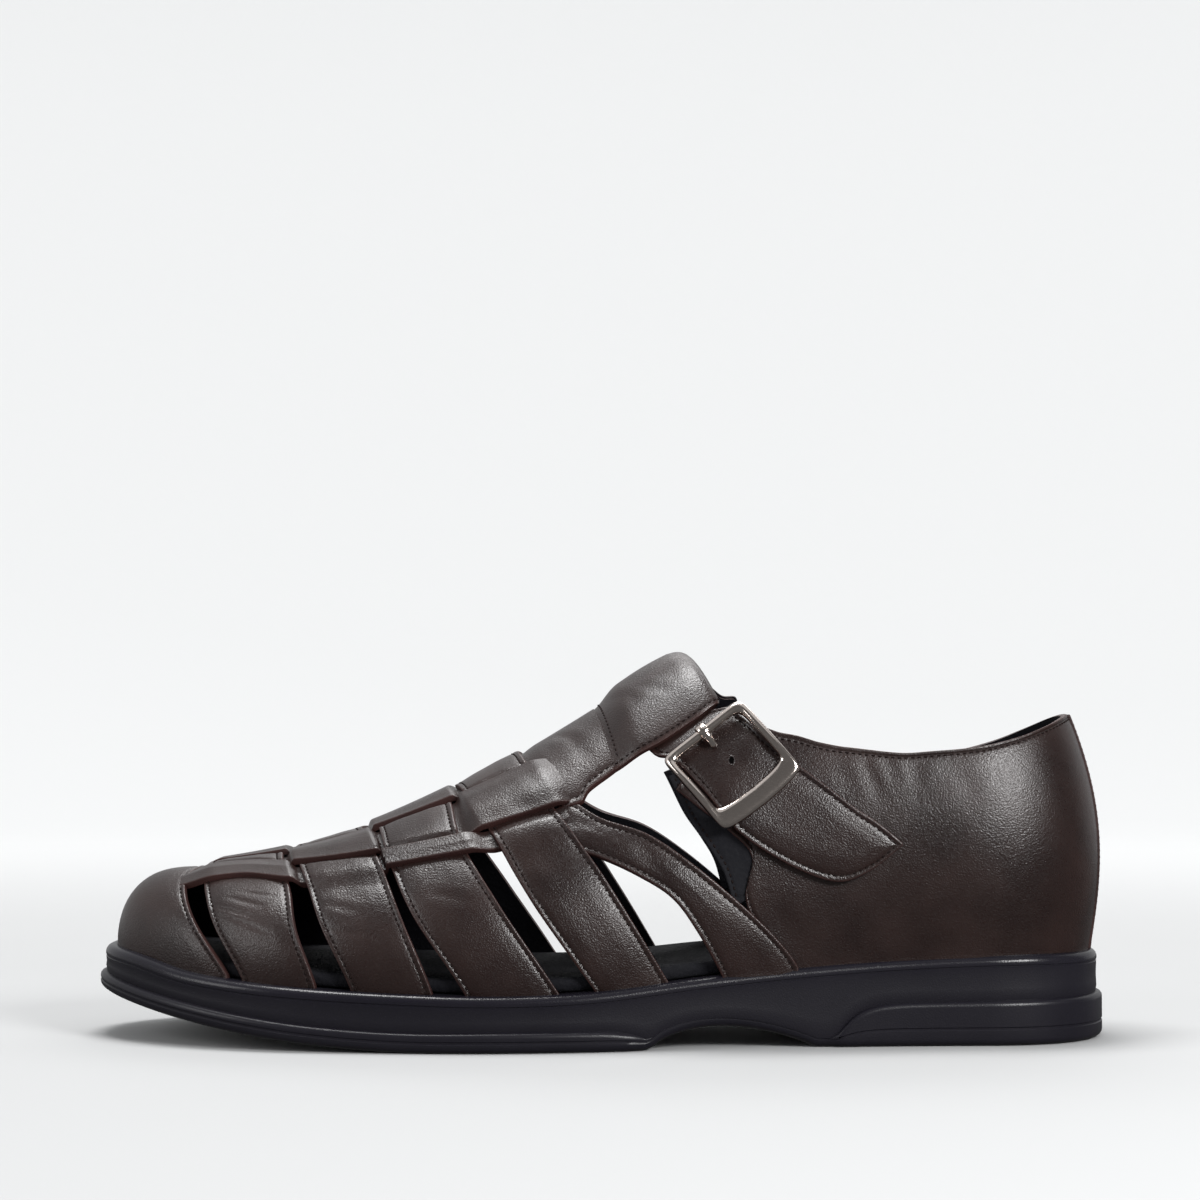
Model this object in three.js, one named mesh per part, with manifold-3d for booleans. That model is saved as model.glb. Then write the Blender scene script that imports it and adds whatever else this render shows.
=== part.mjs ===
// A man's woven leather sandal for the left foot, with a closed toe and heel, in millimetres, +Z up.
// The toe points along -X and the outer (lateral) side faces -Y. The shoe stands on its sole.
// The upper is one hollow leather wall: four cross straps woven with five lengthwise strips, a toe
// cap, a T-strap that ends in a loop, two side branches and a closed quarter round the heel. An
// ankle strap runs through the loop and under a metal buckle, and a moulded rubber sole carries all.
import * as THREE from "three";
import { mergeVertices } from "three/addons/utils/BufferGeometryUtils.js";
import Module from "manifold-3d";

// Driving sizes of the shoe
const SOLE_LENGTH = 300;
const BALL_WIDTH = 107; // the sole's width at the ball, rand included
const HEEL_SEAT = 26; // height of the sole's top at the heel
const INSTEP_HEIGHT = 110; // height of the last at the loop of the T-strap

// The sole's side
const RAND_OUT = 1.5; // how far the rand stands proud of the side wall
const LIP_ROUND = 2.4; // rounding of the top edge
const BOTTOM_ROUND = 2.8; // rounding of the bottom edge
const TOE_SPRING = 14;
const SPRING_END = 105; // where the toe spring meets the floor
const ARCH_START = 165;
const ARCH_END = 212;
const ARCH_HEIGHT = 6.4;
const HEEL_PANEL = 13.2; // height of the raised panel round the heel

// Leather and clearances
const WALL = 2; // thickness of the leather with its lining
const OVERLAY = 0.8; // extra thickness of the heel stay
const FACING = 1.2; // thickness of the soft facing in front of the quarter
const WEAVE_LIFT = 1.9; // how far a strip rises to cross another
const STRIP_GAP = 0.008; // space between neighbouring strips, as a share of the half girth
const TOE_INSET = 7.2; // from the sole's tip to the last's
const HEEL_INSET = 6;
const SIDE_INSET = 6.5; // from the sole's edge to the last's at the ball
const CLEARANCE = 0.3;
const SKIRT = 1.5; // extra depth of the wall, trimmed off again along the sole
const INSOLE_THICK = 4;
const INSOLE_INSET = 0.9;
const STRAP_THICK = 2.2;
const LOOP_LAYER = 1.9; // thickness of the leather round the ankle strap
const INNER_SHARE = 0.9; // width of the loop's inner layer to its outer one

// The buckle
const FRAME_WIDTH = 29.5; // along the bar, outside
const FRAME_LENGTH = 29.8; // along the strap, outside
const BAR_RADIUS = 1.5;
const SIDE_WIDTH = 2.4;
const END_WIDTH = 6;
const END_THICK = 3.2;
const FRAME_SQUARENESS = 9; // power of the frame's outline: 2 is an ellipse, more is squarer
const FRAME_ARCH = 1.2; // how far the frame's two ends drop towards the strap
const END_BOW = 1.2; // how far the far side bows outwards
const FRAME_LIFT = 7.9; // height of the frame's middle plane over the last
const PRONG_WIDTH = 3;
const PRONG_WALL = 0.9;
const PRONG_REACH = 4.4;

// How round the two ends of the outline are: the share of the length they take, and their power
const TOE_CAP_SHARE = 0.23;
const TOE_POWER = 2.3;
const HEEL_CAP_SHARE = 0.13;
const HEEL_POWER = 2.2;
const TOE_SHIFT = 0.075; // the toe's tip lies towards the big toe, as a share of half the ball width
const RIDGE_SHIFT = 0.057; // so does the ridge of the last
const TOE_FAN = 0.06; // how far the sections lean back over the toe, as a share of the length
const TOE_FAN_END = 0.183;
const HEEL_FAN = 0.11;
const HEEL_FAN_END = 0.233;
const BULGE_TOP = 0.7; // the wall's bulge ends at this share of its height

// Half widths of the outline without its round ends, as shares of half the ball width
const PLAN = [
  { at: 0.0, lateral: 0.76, medial: 0.92 },
  { at: 0.1, lateral: 0.86, medial: 0.955 },
  { at: 0.2, lateral: 0.955, medial: 0.97 },
  { at: 0.3, lateral: 1.02, medial: 0.965 },
  { at: 0.38, lateral: 1.045, medial: 0.92 },
  { at: 0.47, lateral: 1.0, medial: 0.81 },
  { at: 0.57, lateral: 0.89, medial: 0.69 },
  { at: 0.67, lateral: 0.79, medial: 0.64 },
  { at: 0.78, lateral: 0.715, medial: 0.66 },
  { at: 0.88, lateral: 0.69, medial: 0.675 },
  { at: 1.0, lateral: 0.69, medial: 0.69 },
];
// Height of the seat where upper and sole meet, as a share of HEEL_SEAT
const SEAT = [
  { at: 0.0, height: 1.04 },
  { at: 0.04, height: 0.98 },
  { at: 0.1, height: 0.823 },
  { at: 0.2, height: 0.71 },
  { at: 0.34, height: 0.635 },
  { at: 0.42, height: 0.623 },
  { at: 0.5, height: 0.66 },
  { at: 0.6, height: 0.79 },
  { at: 0.7, height: 0.895 },
  { at: 0.8, height: 0.97 },
  { at: 0.9, height: 1.01 },
  { at: 1.0, height: 1.0 },
];
// Height of the last's ridge, as a share of INSTEP_HEIGHT
const RIDGE = [
  { at: 0.0, height: 0.4 },
  { at: 0.085, height: 0.425 },
  { at: 0.19, height: 0.47 },
  { at: 0.263, height: 0.528 },
  { at: 0.35, height: 0.631 },
  { at: 0.42, height: 0.735 },
  { at: 0.5, height: 0.867 },
  { at: 0.557, height: 0.969 },
  { at: 0.617, height: 1.05 },
  { at: 0.7, height: 1.136 },
  { at: 0.8, height: 1.155 },
  { at: 0.9, height: 1.127 },
  { at: 1.0, height: 1.09 },
];
// Roundness of the section (2 is an ellipse) and bulge of its wall
const SECTION = [
  { at: 0.0, power: 2.35, bulge: 0 },
  { at: 0.1, power: 2.35, bulge: 0 },
  { at: 0.3, power: 2.15, bulge: 0.02 },
  { at: 0.5, power: 1.9, bulge: 0.03 },
  { at: 0.62, power: 2.0, bulge: 0.05 },
  { at: 0.8, power: 2.6, bulge: 0.1 },
  { at: 1.0, power: 2.6, bulge: 0.11 },
];
// Height of the rand over the floor line, as a share of HEEL_PANEL, and how much of it stands proud
const RAND = [
  { at: 0.0, height: 0.38, proud: 1 },
  { at: 0.2, height: 0.41, proud: 1 },
  { at: 0.5, height: 0.44, proud: 1 },
  { at: 0.53, height: 0.37, proud: 0.85 },
  { at: 0.55, height: 0.23, proud: 0 },
  { at: 0.718, height: 0.18, proud: 0 },
  { at: 0.728, height: 0.3, proud: 0.9 },
  { at: 0.738, height: 0.55, proud: 1 },
  { at: 0.75, height: 0.76, proud: 1 },
  { at: 0.768, height: 0.89, proud: 1 },
  { at: 0.8, height: 0.95, proud: 1 },
  { at: 1.0, height: 1.0, proud: 1 },
];
// Edges of the toe cap and cross straps by share of the half girth, as shares of the last's length
const GIRTH = [0, 0.25, 0.5, 0.75, 1];
const CAP_EDGE = [0.05, 0.055, 0.069, 0.092, 0.128];
const CROSS_STRAPS = [
  { front: [0.072, 0.079, 0.093, 0.112, 0.143], back: [0.166, 0.174, 0.186, 0.196, 0.217] },
  { front: [0.18, 0.189, 0.204, 0.222, 0.252], back: [0.25, 0.263, 0.281, 0.303, 0.333] },
  { front: [0.266, 0.276, 0.289, 0.315, 0.365], back: [0.34, 0.349, 0.362, 0.4, 0.457] },
  { front: [0.35, 0.365, 0.391, 0.431, 0.492], back: [0.415, 0.428, 0.455, 0.507, 0.565] },
];
// The lines between the lengthwise strips: shares of the half girth from the ridge
const STRIP_LINES = [
  { at: 0.06, outer: 0.41, side: 0.17, middle: 0.05 },
  { at: 0.13, outer: 0.365, side: 0.19, middle: 0.065 },
  { at: 0.19, outer: 0.455, side: 0.3, middle: 0.095 },
  { at: 0.28, outer: 0.503, side: 0.4, middle: 0.16 },
  { at: 0.37, outer: 0.545, side: 0.46, middle: 0.215 },
  { at: 0.47, outer: 0.58, side: 0.488, middle: 0.262 },
];
const STRIP_START = 0.045;
const STRIP_END = 0.466;
// The T-strap's panel from the last cross strap to the stitched line, then its loop
const PANEL = [
  { at: 0, ridge: 0.418, edge: 0.458, across: 0.49 },
  { at: 0.5, ridge: 0.455, edge: 0.48, across: 0.5 },
  { at: 0.7, ridge: 0.472, edge: 0.488, across: 0.47 },
  { at: 1, ridge: 0.495, edge: 0.514, across: 0.447 },
];
const LOOP = [
  { at: 0, ridge: 0.493, edge: 0.512, across: 0.447 },
  { at: 0.5, ridge: 0.54, edge: 0.562, across: 0.45 },
  { at: 1, ridge: 0.588, edge: 0.619, across: 0.41 },
];
// Outline of the loop's section: along the loop, and layers above (or below) the last
const LOOP_SECTION = [
  { along: 0, lift: 0 },
  { along: 0.14, lift: -LOOP_LAYER - CLEARANCE },
  { along: 0.86, lift: -LOOP_LAYER - CLEARANCE },
  { along: 0.97, lift: -LOOP_LAYER / 3 },
  { along: 1, lift: STRAP_THICK / 2 },
  { along: 0.97, lift: STRAP_THICK + LOOP_LAYER / 3 },
  { along: 0.86, lift: STRAP_THICK + CLEARANCE + LOOP_LAYER },
  { along: 0.22, lift: STRAP_THICK + CLEARANCE + LOOP_LAYER },
  { along: 0, lift: WALL },
];
// The side branch of the T-strap, from the panel down to the sole
const BRANCH = [
  { at: 0, lowAt: 0.45, low: 0.6, highAt: 0.462, high: 0.45, lift: -0.4 },
  { at: 0.2, lowAt: 0.494, low: 0.669, highAt: 0.497, high: 0.567, lift: 0 },
  { at: 0.4, lowAt: 0.539, low: 0.756, highAt: 0.545, high: 0.662, lift: 0.1 },
  { at: 0.6, lowAt: 0.571, low: 0.826, highAt: 0.595, high: 0.776, lift: 0.45 },
  { at: 0.8, lowAt: 0.595, low: 0.908, highAt: 0.645, high: 0.89, lift: 0.6 },
  { at: 1, lowAt: 0.618, low: 1, highAt: 0.695, high: 1, lift: 0.6 },
];
// The quarter from its front end under the buckle to the middle of the heel
const QUARTER = [
  { lowAt: 0.575, low: 0.585, highAt: 0.625, high: 0.455 },
  { lowAt: 0.6, low: 0.655, highAt: 0.64, high: 0.48 },
  { lowAt: 0.629, low: 0.727, highAt: 0.66, high: 0.513 },
  { lowAt: 0.65, low: 0.795, highAt: 0.68, high: 0.553 },
  { lowAt: 0.643, low: 0.865, highAt: 0.698, high: 0.579 },
  { lowAt: 0.66, low: 0.95, highAt: 0.72, high: 0.612 },
  { lowAt: 0.69, low: 1, highAt: 0.748, high: 0.641 },
  { lowAt: 0.75, low: 1, highAt: 0.798, high: 0.673 },
  { lowAt: 0.82, low: 1, highAt: 0.83, high: 0.676 },
  { lowAt: 0.88, low: 1, highAt: 0.88, high: 0.667 },
  { lowAt: 0.925, low: 1, highAt: 0.925, high: 0.641 },
  { lowAt: 0.96, low: 1, highAt: 0.96, high: 0.61 },
  { lowAt: 0.983, low: 1, highAt: 0.983, high: 0.588 },
  { lowAt: 0.9955, low: 1, highAt: 0.9955, high: 0.577 },
  { lowAt: 1, low: 1, highAt: 1, high: 0.574 },
];
// The soft facing that shows in front of the quarter
const FACING_ROWS = [
  { lowAt: 0.561, low: 0.55, highAt: 0.6, high: 0.56 },
  { lowAt: 0.588, low: 0.68, highAt: 0.62, high: 0.66 },
  { lowAt: 0.611, low: 0.745, highAt: 0.645, high: 0.73 },
  { lowAt: 0.626, low: 0.8, highAt: 0.66, high: 0.785 },
  { lowAt: 0.632, low: 0.87, highAt: 0.67, high: 0.86 },
];
const COLLAR_DROP = 0.025; // the inner collar is lower than the outer one, as a share of the half girth
const STAY_AT = 0.998; // edge of the heel stay
const STAY_TOP = 0.574;
// The ankle strap from its pointed tip over the instep to its sewn end on the inner side
const ANKLE_STRAP = [
  { lowAt: 0.8, low: -0.853, highAt: 0.8, high: -0.849, lift: 1 },
  { lowAt: 0.766, low: -0.884, highAt: 0.776, high: -0.808, lift: 1 },
  { lowAt: 0.731, low: -0.886, highAt: 0.746, high: -0.758, lift: 1 },
  { lowAt: 0.685, low: -0.832, highAt: 0.698, high: -0.653, lift: 1 },
  { lowAt: 0.635, low: -0.733, highAt: 0.664, high: -0.565, lift: 1 },
  { lowAt: 0.602, low: -0.62, highAt: 0.645, high: -0.5, lift: 1 },
  { lowAt: 0.572, low: -0.51, highAt: 0.626, high: -0.435, lift: 0.7 },
  { lowAt: 0.55, low: -0.445, highAt: 0.608, high: -0.39, lift: 0 },
  { lowAt: 0.53, low: -0.25, highAt: 0.59, high: -0.22, lift: 0 },
  { lowAt: 0.516, low: 0, highAt: 0.574, high: 0, lift: 0 },
  { lowAt: 0.53, low: 0.25, highAt: 0.59, high: 0.22, lift: 0 },
  { lowAt: 0.55, low: 0.445, highAt: 0.608, high: 0.39, lift: 0 },
  { lowAt: 0.572, low: 0.51, highAt: 0.626, high: 0.435, lift: 0.7 },
  { lowAt: 0.602, low: 0.62, highAt: 0.645, high: 0.5, lift: 1 },
  { lowAt: 0.635, low: 0.733, highAt: 0.664, high: 0.565, lift: 1 },
  { lowAt: 0.672, low: 0.8, highAt: 0.69, high: 0.64, lift: 1 },
];
// Corners of the buckle on the last: two ends of the bar, then the far side
const BUCKLE = { barLow: [0.56, -0.511], barHigh: [0.637, -0.457], endHigh: [0.707, -0.663], endLow: [0.628, -0.734] };

const wasm = await Module();
wasm.setup();

const lerp = (a, b, share) => a + (b - a) * share;
const clamp = (value, low = 0, high = 1) => Math.min(high, Math.max(low, value));
const range = (count) => Array.from({ length: count + 1 }, (_, i) => i / count);

// Smooth value of a table's column, with the slope at each row taken from its neighbours.
function read(rows, column, at) {
  const x = clamp(at, rows[0].at, rows[rows.length - 1].at);
  let i = 0;
  while (i < rows.length - 2 && x > rows[i + 1].at) i++;
  const slope = (k) => {
    const before = rows[Math.max(0, k - 1)];
    const after = rows[Math.min(rows.length - 1, k + 1)];
    return (after[column] - before[column]) / (after.at - before.at);
  };
  const step = rows[i + 1].at - rows[i].at;
  const t = (x - rows[i].at) / step;
  const rise = rows[i + 1][column] - rows[i][column];
  const bend = (1 - t) * (slope(i) * step - rise) - t * (slope(i + 1) * step - rise);
  return rows[i][column] + t * rise + t * (1 - t) * bend;
}
const byGirth = (shares) => GIRTH.map((at, i) => ({ at, share: shares[i] }));
const byRow = (rows) => rows.map((row, i) => ({ ...row, at: i / (rows.length - 1) }));

// The round end of an outline: 0 at its tip and 1 once past the end's length.
function roundEnd(distance, length, power) {
  return (1 - clamp(1 - distance / length) ** power) ** (1 / power);
}

// A point of an outline of this length and half width; turn runs from 0 at the toe to 1 at the heel.
function outline(turn, side, start, end, half) {
  const share = (1 - Math.cos(Math.PI * turn)) / 2;
  const x = lerp(start, end, share);
  const round =
    roundEnd(x - start, TOE_CAP_SHARE * SOLE_LENGTH, TOE_POWER) *
    roundEnd(end - x, HEEL_CAP_SHARE * SOLE_LENGTH, HEEL_POWER);
  const width = read(PLAN, side < 0 ? "lateral" : "medial", share) * half * round;
  const middle = (TOE_SHIFT * BALL_WIDTH * clamp(1 - share / 0.3) ** 2) / 2;
  return [x, middle + side * width];
}

const turnOf = (share) => (Math.sign(share) * Math.acos(1 - 2 * clamp(Math.abs(share)))) / Math.PI;
const LAST_START = TOE_INSET;
const LAST_END = SOLE_LENGTH - HEEL_INSET;

// A point on the last. Across runs from -1 at the outer seat over 0 at the ridge to 1 at the inner.
function lastPoint(turn, across) {
  const past = turn < 0 || turn > 1;
  const inside = turn < 0 ? -turn : turn > 1 ? 2 - turn : turn;
  const side = (past ? -across : across) < 0 ? -1 : 1;
  const [x, y] = outline(inside, side, LAST_START, LAST_END, BALL_WIDTH / 2 - SIDE_INSET);
  const share = x / SOLE_LENGTH;
  const fromToe = (x - LAST_START) / SOLE_LENGTH;
  const fromHeel = (LAST_END - x) / SOLE_LENGTH;
  const ridgeX =
    x +
    SOLE_LENGTH *
      (TOE_FAN * clamp(1 - fromToe / TOE_FAN_END) ** 2 - HEEL_FAN * clamp(1 - fromHeel / HEEL_FAN_END) ** 2);
  const ridgeY = (RIDGE_SHIFT * BALL_WIDTH) / 2;
  const up = 1 - Math.abs(across);
  const angle = (Math.PI / 2) * clamp(up);
  const power = read(SECTION, "power", share);
  const rise = Math.sin(angle) ** (2 / power);
  const bulge = 1 + read(SECTION, "bulge", share) * Math.sin(Math.PI * clamp(rise / BULGE_TOP));
  const out = Math.max(0, Math.cos(angle)) ** (2 / power) * bulge;
  const seat = read(SEAT, "height", share) * HEEL_SEAT;
  const ridge = read(RIDGE, "height", ridgeX / SOLE_LENGTH) * INSTEP_HEIGHT;
  const below = Math.min(0, up) * INSTEP_HEIGHT;
  return new THREE.Vector3(
    lerp(ridgeX, x, out),
    lerp(ridgeY, y, out),
    lerp(seat, ridge, rise) + below,
  );
}

// A point at some height over the last, along its outward normal.
function overLast(share, across, lift) {
  const small = 1e-3;
  const turn = turnOf(share);
  const shown = clamp(across, -1 + small, 1 - small);
  const along = lastPoint(turn + small, shown).sub(lastPoint(turn - small, shown));
  const round = lastPoint(turn, shown + small).sub(lastPoint(turn, shown - small));
  const normal = along.cross(round).normalize();
  return lastPoint(turn, across).addScaledVector(normal, lift);
}

// A closed solid from points and triangles: doubles merged, empty triangles dropped, faces outwards.
function solidOf(points, triangles) {
  const geometry = new THREE.BufferGeometry().setFromPoints(points);
  geometry.setIndex(triangles.flat());
  const merged = mergeVertices(geometry, 1e-4);
  const position = merged.attributes.position;
  const kept = [];
  let volume = 0;
  const corner = (i) => new THREE.Vector3().fromBufferAttribute(position, i);
  for (let i = 0; i < merged.index.count; i += 3) {
    const [a, b, c] = [0, 1, 2].map((k) => merged.index.getX(i + k));
    if (a === b || b === c || a === c) continue;
    kept.push([a, b, c]);
    volume += corner(a).dot(corner(b).cross(corner(c)));
  }
  const facing = volume < 0 ? kept.map(([a, b, c]) => [a, c, b]) : kept;
  return new wasm.Manifold(
    new wasm.Mesh({
      numProp: 3,
      vertProperties: position.array,
      triVerts: new Uint32Array(facing.flat()),
    }),
  );
}

// A leather sheet over the last. spot gives share and across for a place on the sheet, lift the
// height of its inner face there, and thick its thickness.
function sheet(alongs, acrosses, spot, lift, thick) {
  const points = [];
  alongs.forEach((u) =>
    acrosses.forEach((v) => {
      const [share, across] = spot(u, v);
      const low = lift(u, v);
      points.push(overLast(share, across, low), overLast(share, across, low + thick));
    }),
  );
  const rows = acrosses.length;
  const inner = (i, j) => 2 * (i * rows + j);
  const outer = (i, j) => inner(i, j) + 1;
  const triangles = [];
  const quad = (a, b, c, d) => triangles.push([a, b, c], [a, c, d]);
  const last = alongs.length - 1;
  for (let i = 0; i < last; i++) {
    for (let j = 0; j < rows - 1; j++) {
      quad(outer(i, j), outer(i + 1, j), outer(i + 1, j + 1), outer(i, j + 1));
      quad(inner(i, j), inner(i, j + 1), inner(i + 1, j + 1), inner(i + 1, j));
    }
    quad(inner(i, 0), inner(i + 1, 0), outer(i + 1, 0), outer(i, 0));
    quad(outer(i, rows - 1), outer(i + 1, rows - 1), inner(i + 1, rows - 1), inner(i, rows - 1));
  }
  for (let j = 0; j < rows - 1; j++) {
    quad(inner(0, j), outer(0, j), outer(0, j + 1), inner(0, j + 1));
    quad(inner(last, j), inner(last, j + 1), outer(last, j + 1), outer(last, j));
  }
  return solidOf(points, triangles);
}

// A sheet between two edges that a table gives row by row, on one side of the shoe or on both.
function banded(rows, alongs, acrosses, side, lift, thick, widen = 0) {
  const table = byRow(rows);
  const spot = (u, v) => {
    const share = lerp(read(table, "lowAt", u), read(table, "highAt", u), lerp(-widen, 1 + widen, v));
    const across = lerp(read(table, "low", u), read(table, "high", u), lerp(-widen, 1 + widen, v));
    return [share, side * across];
  };
  return sheet(alongs, acrosses, spot, lift, thick);
}

// The wall goes a little below the seat, where it is trimmed to the sole.
const SEAT_EDGE = 1 + SKIRT / INSTEP_HEIGHT;
const toSeat = (across) => (Math.abs(across) >= 1 ? Math.sign(across) * SEAT_EDGE : across);

// Half of the toe cap: u runs from just past the tip to the rear edge, v from seat to ridge.
function toeCap(side) {
  const edge = byGirth(CAP_EDGE);
  const spot = (u, v) => [Math.sign(u) * read(edge, "share", 1 - v) * u * u, side * toSeat(1 - v)];
  const alongs = [-0.07, 0.07, 0.2, 0.35, 0.5, 0.66, 0.83, 1];
  const acrosses = [0, 0.08, 0.22, 0.38, 0.55, 0.7, 0.85, side < 0 ? 1.02 : 1.05];
  return sheet(alongs, acrosses, spot, () => (side < 0 ? 0 : -0.05), WALL);
}

// Strips lie over a cross strap where their numbers add up to an odd one, as in a plain weave.
const isOver = (strap, strip) => (strap + strip) % 2 === 0;
const STRIPS = [
  { low: "outer", high: "side", side: -1 },
  { low: "side", high: "middle", side: -1 },
  { low: "middle", high: "middle", side: 0 },
  { low: "side", high: "middle", side: 1 },
  { low: "outer", high: "side", side: 1 },
];
const EASE = 0.014; // half length of the slope beside a crossing, as a share of the half girth

// Places round the shoe along a cross strap, from its outer end to its inner one, with its height.
function crossSteps(strap, number) {
  const at = (strap.front[1] + strap.back[1]) / 2;
  const lines = ["outer", "side", "middle"].map((name) => read(STRIP_LINES, name, at));
  const half = [1, 0.86, 0.72, lines[0] + 0.05].map((girth) => ({ across: -girth, lift: 0 }));
  lines.forEach((line, k) => {
    const before = k > 0 && !isOver(number, k - 1) ? WEAVE_LIFT : 0;
    const after = isOver(number, k) ? 0 : WEAVE_LIFT;
    const next = k < 2 ? lines[k + 1] : 0;
    half.push({ across: -line - EASE, lift: before }, { across: -line + EASE, lift: after });
    half.push({ across: -(line + next) / 2, lift: after });
  });
  const mirrored = half.map(({ across, lift }) => ({ across: -across, lift })).reverse();
  return [...half, { across: 0, lift: half[half.length - 1].lift }, ...mirrored];
}

function crossStrap(strap, number) {
  const steps = crossSteps(strap, number);
  const front = byGirth(strap.front);
  const back = byGirth(strap.back);
  const spot = (u, v) => {
    const across = steps[v].across;
    const girth = Math.abs(across);
    return [lerp(read(front, "share", girth), read(back, "share", girth), u), toSeat(across)];
  };
  return sheet(range(2), steps.map((_, v) => v), spot, (_, v) => steps[v].lift, WALL);
}

// Places along a strip where it changes height.
function stripSteps(number) {
  const ease = 0.004;
  const steps = [{ at: STRIP_START, lift: 0 }];
  const strip = STRIPS[number];
  CROSS_STRAPS.forEach((strap, k) => {
    const girth = strip.side === 0 ? 0 : read(STRIP_LINES, strip.high, strap.front[1]) + 0.05;
    const front = read(byGirth(strap.front), "share", girth);
    const back = read(byGirth(strap.back), "share", girth);
    const lift = isOver(k, number) ? WEAVE_LIFT : 0;
    steps.push({ at: front - ease, lift }, { at: back + ease, lift });
  });
  steps.push({ at: STRIP_END, lift: 0 });
  return steps;
}

function lengthStrip(strip, number) {
  const steps = stripSteps(number);
  const spot = (u, v) => {
    const at = steps[u].at;
    const low = read(STRIP_LINES, strip.low, at) - STRIP_GAP;
    const high = read(STRIP_LINES, strip.high, at) + STRIP_GAP;
    const across = strip.side === 0 ? lerp(-low, low, v) : strip.side * lerp(low, high, v);
    return [at, across];
  };
  return sheet(steps.map((_, u) => u), range(2), spot, (u) => steps[u].lift, WALL);
}

// A place on the T-strap: u along it, v from its outer edge to its inner one.
function onTee(rows, u, v) {
  const side = 2 * v - 1;
  const share = lerp(read(rows, "ridge", u), read(rows, "edge", u), Math.abs(side) ** 1.5);
  return [share, side * read(rows, "across", u)];
}

function teePanel() {
  return sheet(range(3), range(8), (u, v) => onTee(PANEL, u, v), () => 0, WALL);
}

// The loop is folded round the ankle strap and sewn down at its front.
function teeLoop() {
  const rings = range(8).map((v) =>
    LOOP_SECTION.map(({ along, lift }) => {
      const [share, across] = onTee(LOOP, along, v);
      return overLast(share, across * (lift < 0 ? INNER_SHARE : 1), lift);
    }),
  );
  const size = LOOP_SECTION.length;
  const triangles = [];
  rings.slice(1).forEach((_, r) => {
    for (let i = 0; i < size; i++) {
      const next = (i + 1) % size;
      const [a, b, c, d] = [r * size + i, r * size + next, (r + 1) * size + next, (r + 1) * size + i];
      triangles.push([a, b, c], [a, c, d]);
    }
  });
  const contour = LOOP_SECTION.map(({ along, lift }) => new THREE.Vector2((along * SOLE_LENGTH) / 10, lift));
  THREE.ShapeUtils.triangulateShape(contour, []).forEach(([a, b, c]) => {
    const base = (rings.length - 1) * size;
    triangles.push([a, c, b], [base + a, base + b, base + c]);
  });
  return solidOf(rings.flat(), triangles);
}

function branch(side) {
  const lift = (u) => read(BRANCH, "lift", u) * WALL;
  const spot = (u, v) => {
    const share = lerp(read(BRANCH, "lowAt", u), read(BRANCH, "highAt", u), v);
    const across = lerp(read(BRANCH, "low", u), read(BRANCH, "high", u), v);
    return [share, side * toSeat(clamp(across))];
  };
  return sheet(range(10), range(2), spot, lift, WALL);
}

// The quarter goes from its outer front end round the heel to its inner one.
function quarter() {
  const half = QUARTER.map((row) => ({ ...row, side: -1 }));
  const rows = [...half, ...half.slice(0, -1).reverse().map((row) => ({ ...row, side: 1 }))];
  const spot = (u, v) => {
    const row = rows[u];
    const drop = row.side > 0 ? COLLAR_DROP * (1 - row.lowAt ** 12) : 0;
    const across = lerp(row.low, row.high + drop, v);
    return [lerp(row.lowAt, row.highAt, v), row.side * toSeat(across)];
  };
  const acrosses = [0, 0.17, 0.36, 0.56, 0.78, 1];
  return sheet(rows.map((_, u) => u), acrosses, spot, () => 0, WALL);
}

function facing(side) {
  return banded(FACING_ROWS, range(4), range(1), side, () => 0, FACING);
}

// The stay covers the seam at the back of the heel.
function heelStay() {
  const spot = (u, v) => [lerp(STAY_AT, 1, 1 - Math.abs(u)), (u < 0 ? -1 : 1) * toSeat(lerp(1, STAY_TOP, v))];
  return sheet([-1, -0.5, 0, 0.5, 1], range(5), spot, () => WALL - CLEARANCE, OVERLAY + CLEARANCE);
}

function ankleStrap(extra = 0, widen = 0) {
  const lifts = byRow(ANKLE_STRAP);
  const lift = (u) => read(lifts, "lift", u) * (WALL + CLEARANCE) - extra;
  const count = ANKLE_STRAP.length - 1;
  const alongs = [0, 0.25, 0.6, ...range(count).slice(1).map((share) => share * count)];
  const spread = [...new Set(alongs)].map((row) => row / count);
  return banded(ANKLE_STRAP, spread, range(2), 1, lift, STRAP_THICK + 2 * extra, widen);
}

// Height of the floor line under the sole: toe spring in front, and the arch before the heel.
function floorLine(x) {
  const spring = TOE_SPRING * clamp(1 - x / SPRING_END) ** 1.9;
  const along = clamp((x - ARCH_START) / (ARCH_END - ARCH_START));
  return spring + ARCH_HEIGHT * Math.max(0, Math.sin(Math.PI * along ** 0.8)) ** 0.8;
}

// The sole's outline at one place, moved inwards by inset.
function solePlan(turn, side, inset) {
  const small = 1e-3;
  const inside = clamp(turn, small, 1 - small);
  const [x, y] = outline(turn, side, 0, SOLE_LENGTH, BALL_WIDTH / 2);
  const before = outline(inside - small, side, 0, SOLE_LENGTH, BALL_WIDTH / 2);
  const after = outline(inside + small, side, 0, SOLE_LENGTH, BALL_WIDTH / 2);
  const along = new THREE.Vector2(after[0] - before[0], after[1] - before[1]).normalize();
  const tip = turn < small || turn > 1 - small;
  const inward = tip ? [turn < small ? 1 : -1, 0] : [side * along.y, -side * along.x];
  return [x + inward[0] * inset, y + inward[1] * inset];
}

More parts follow.
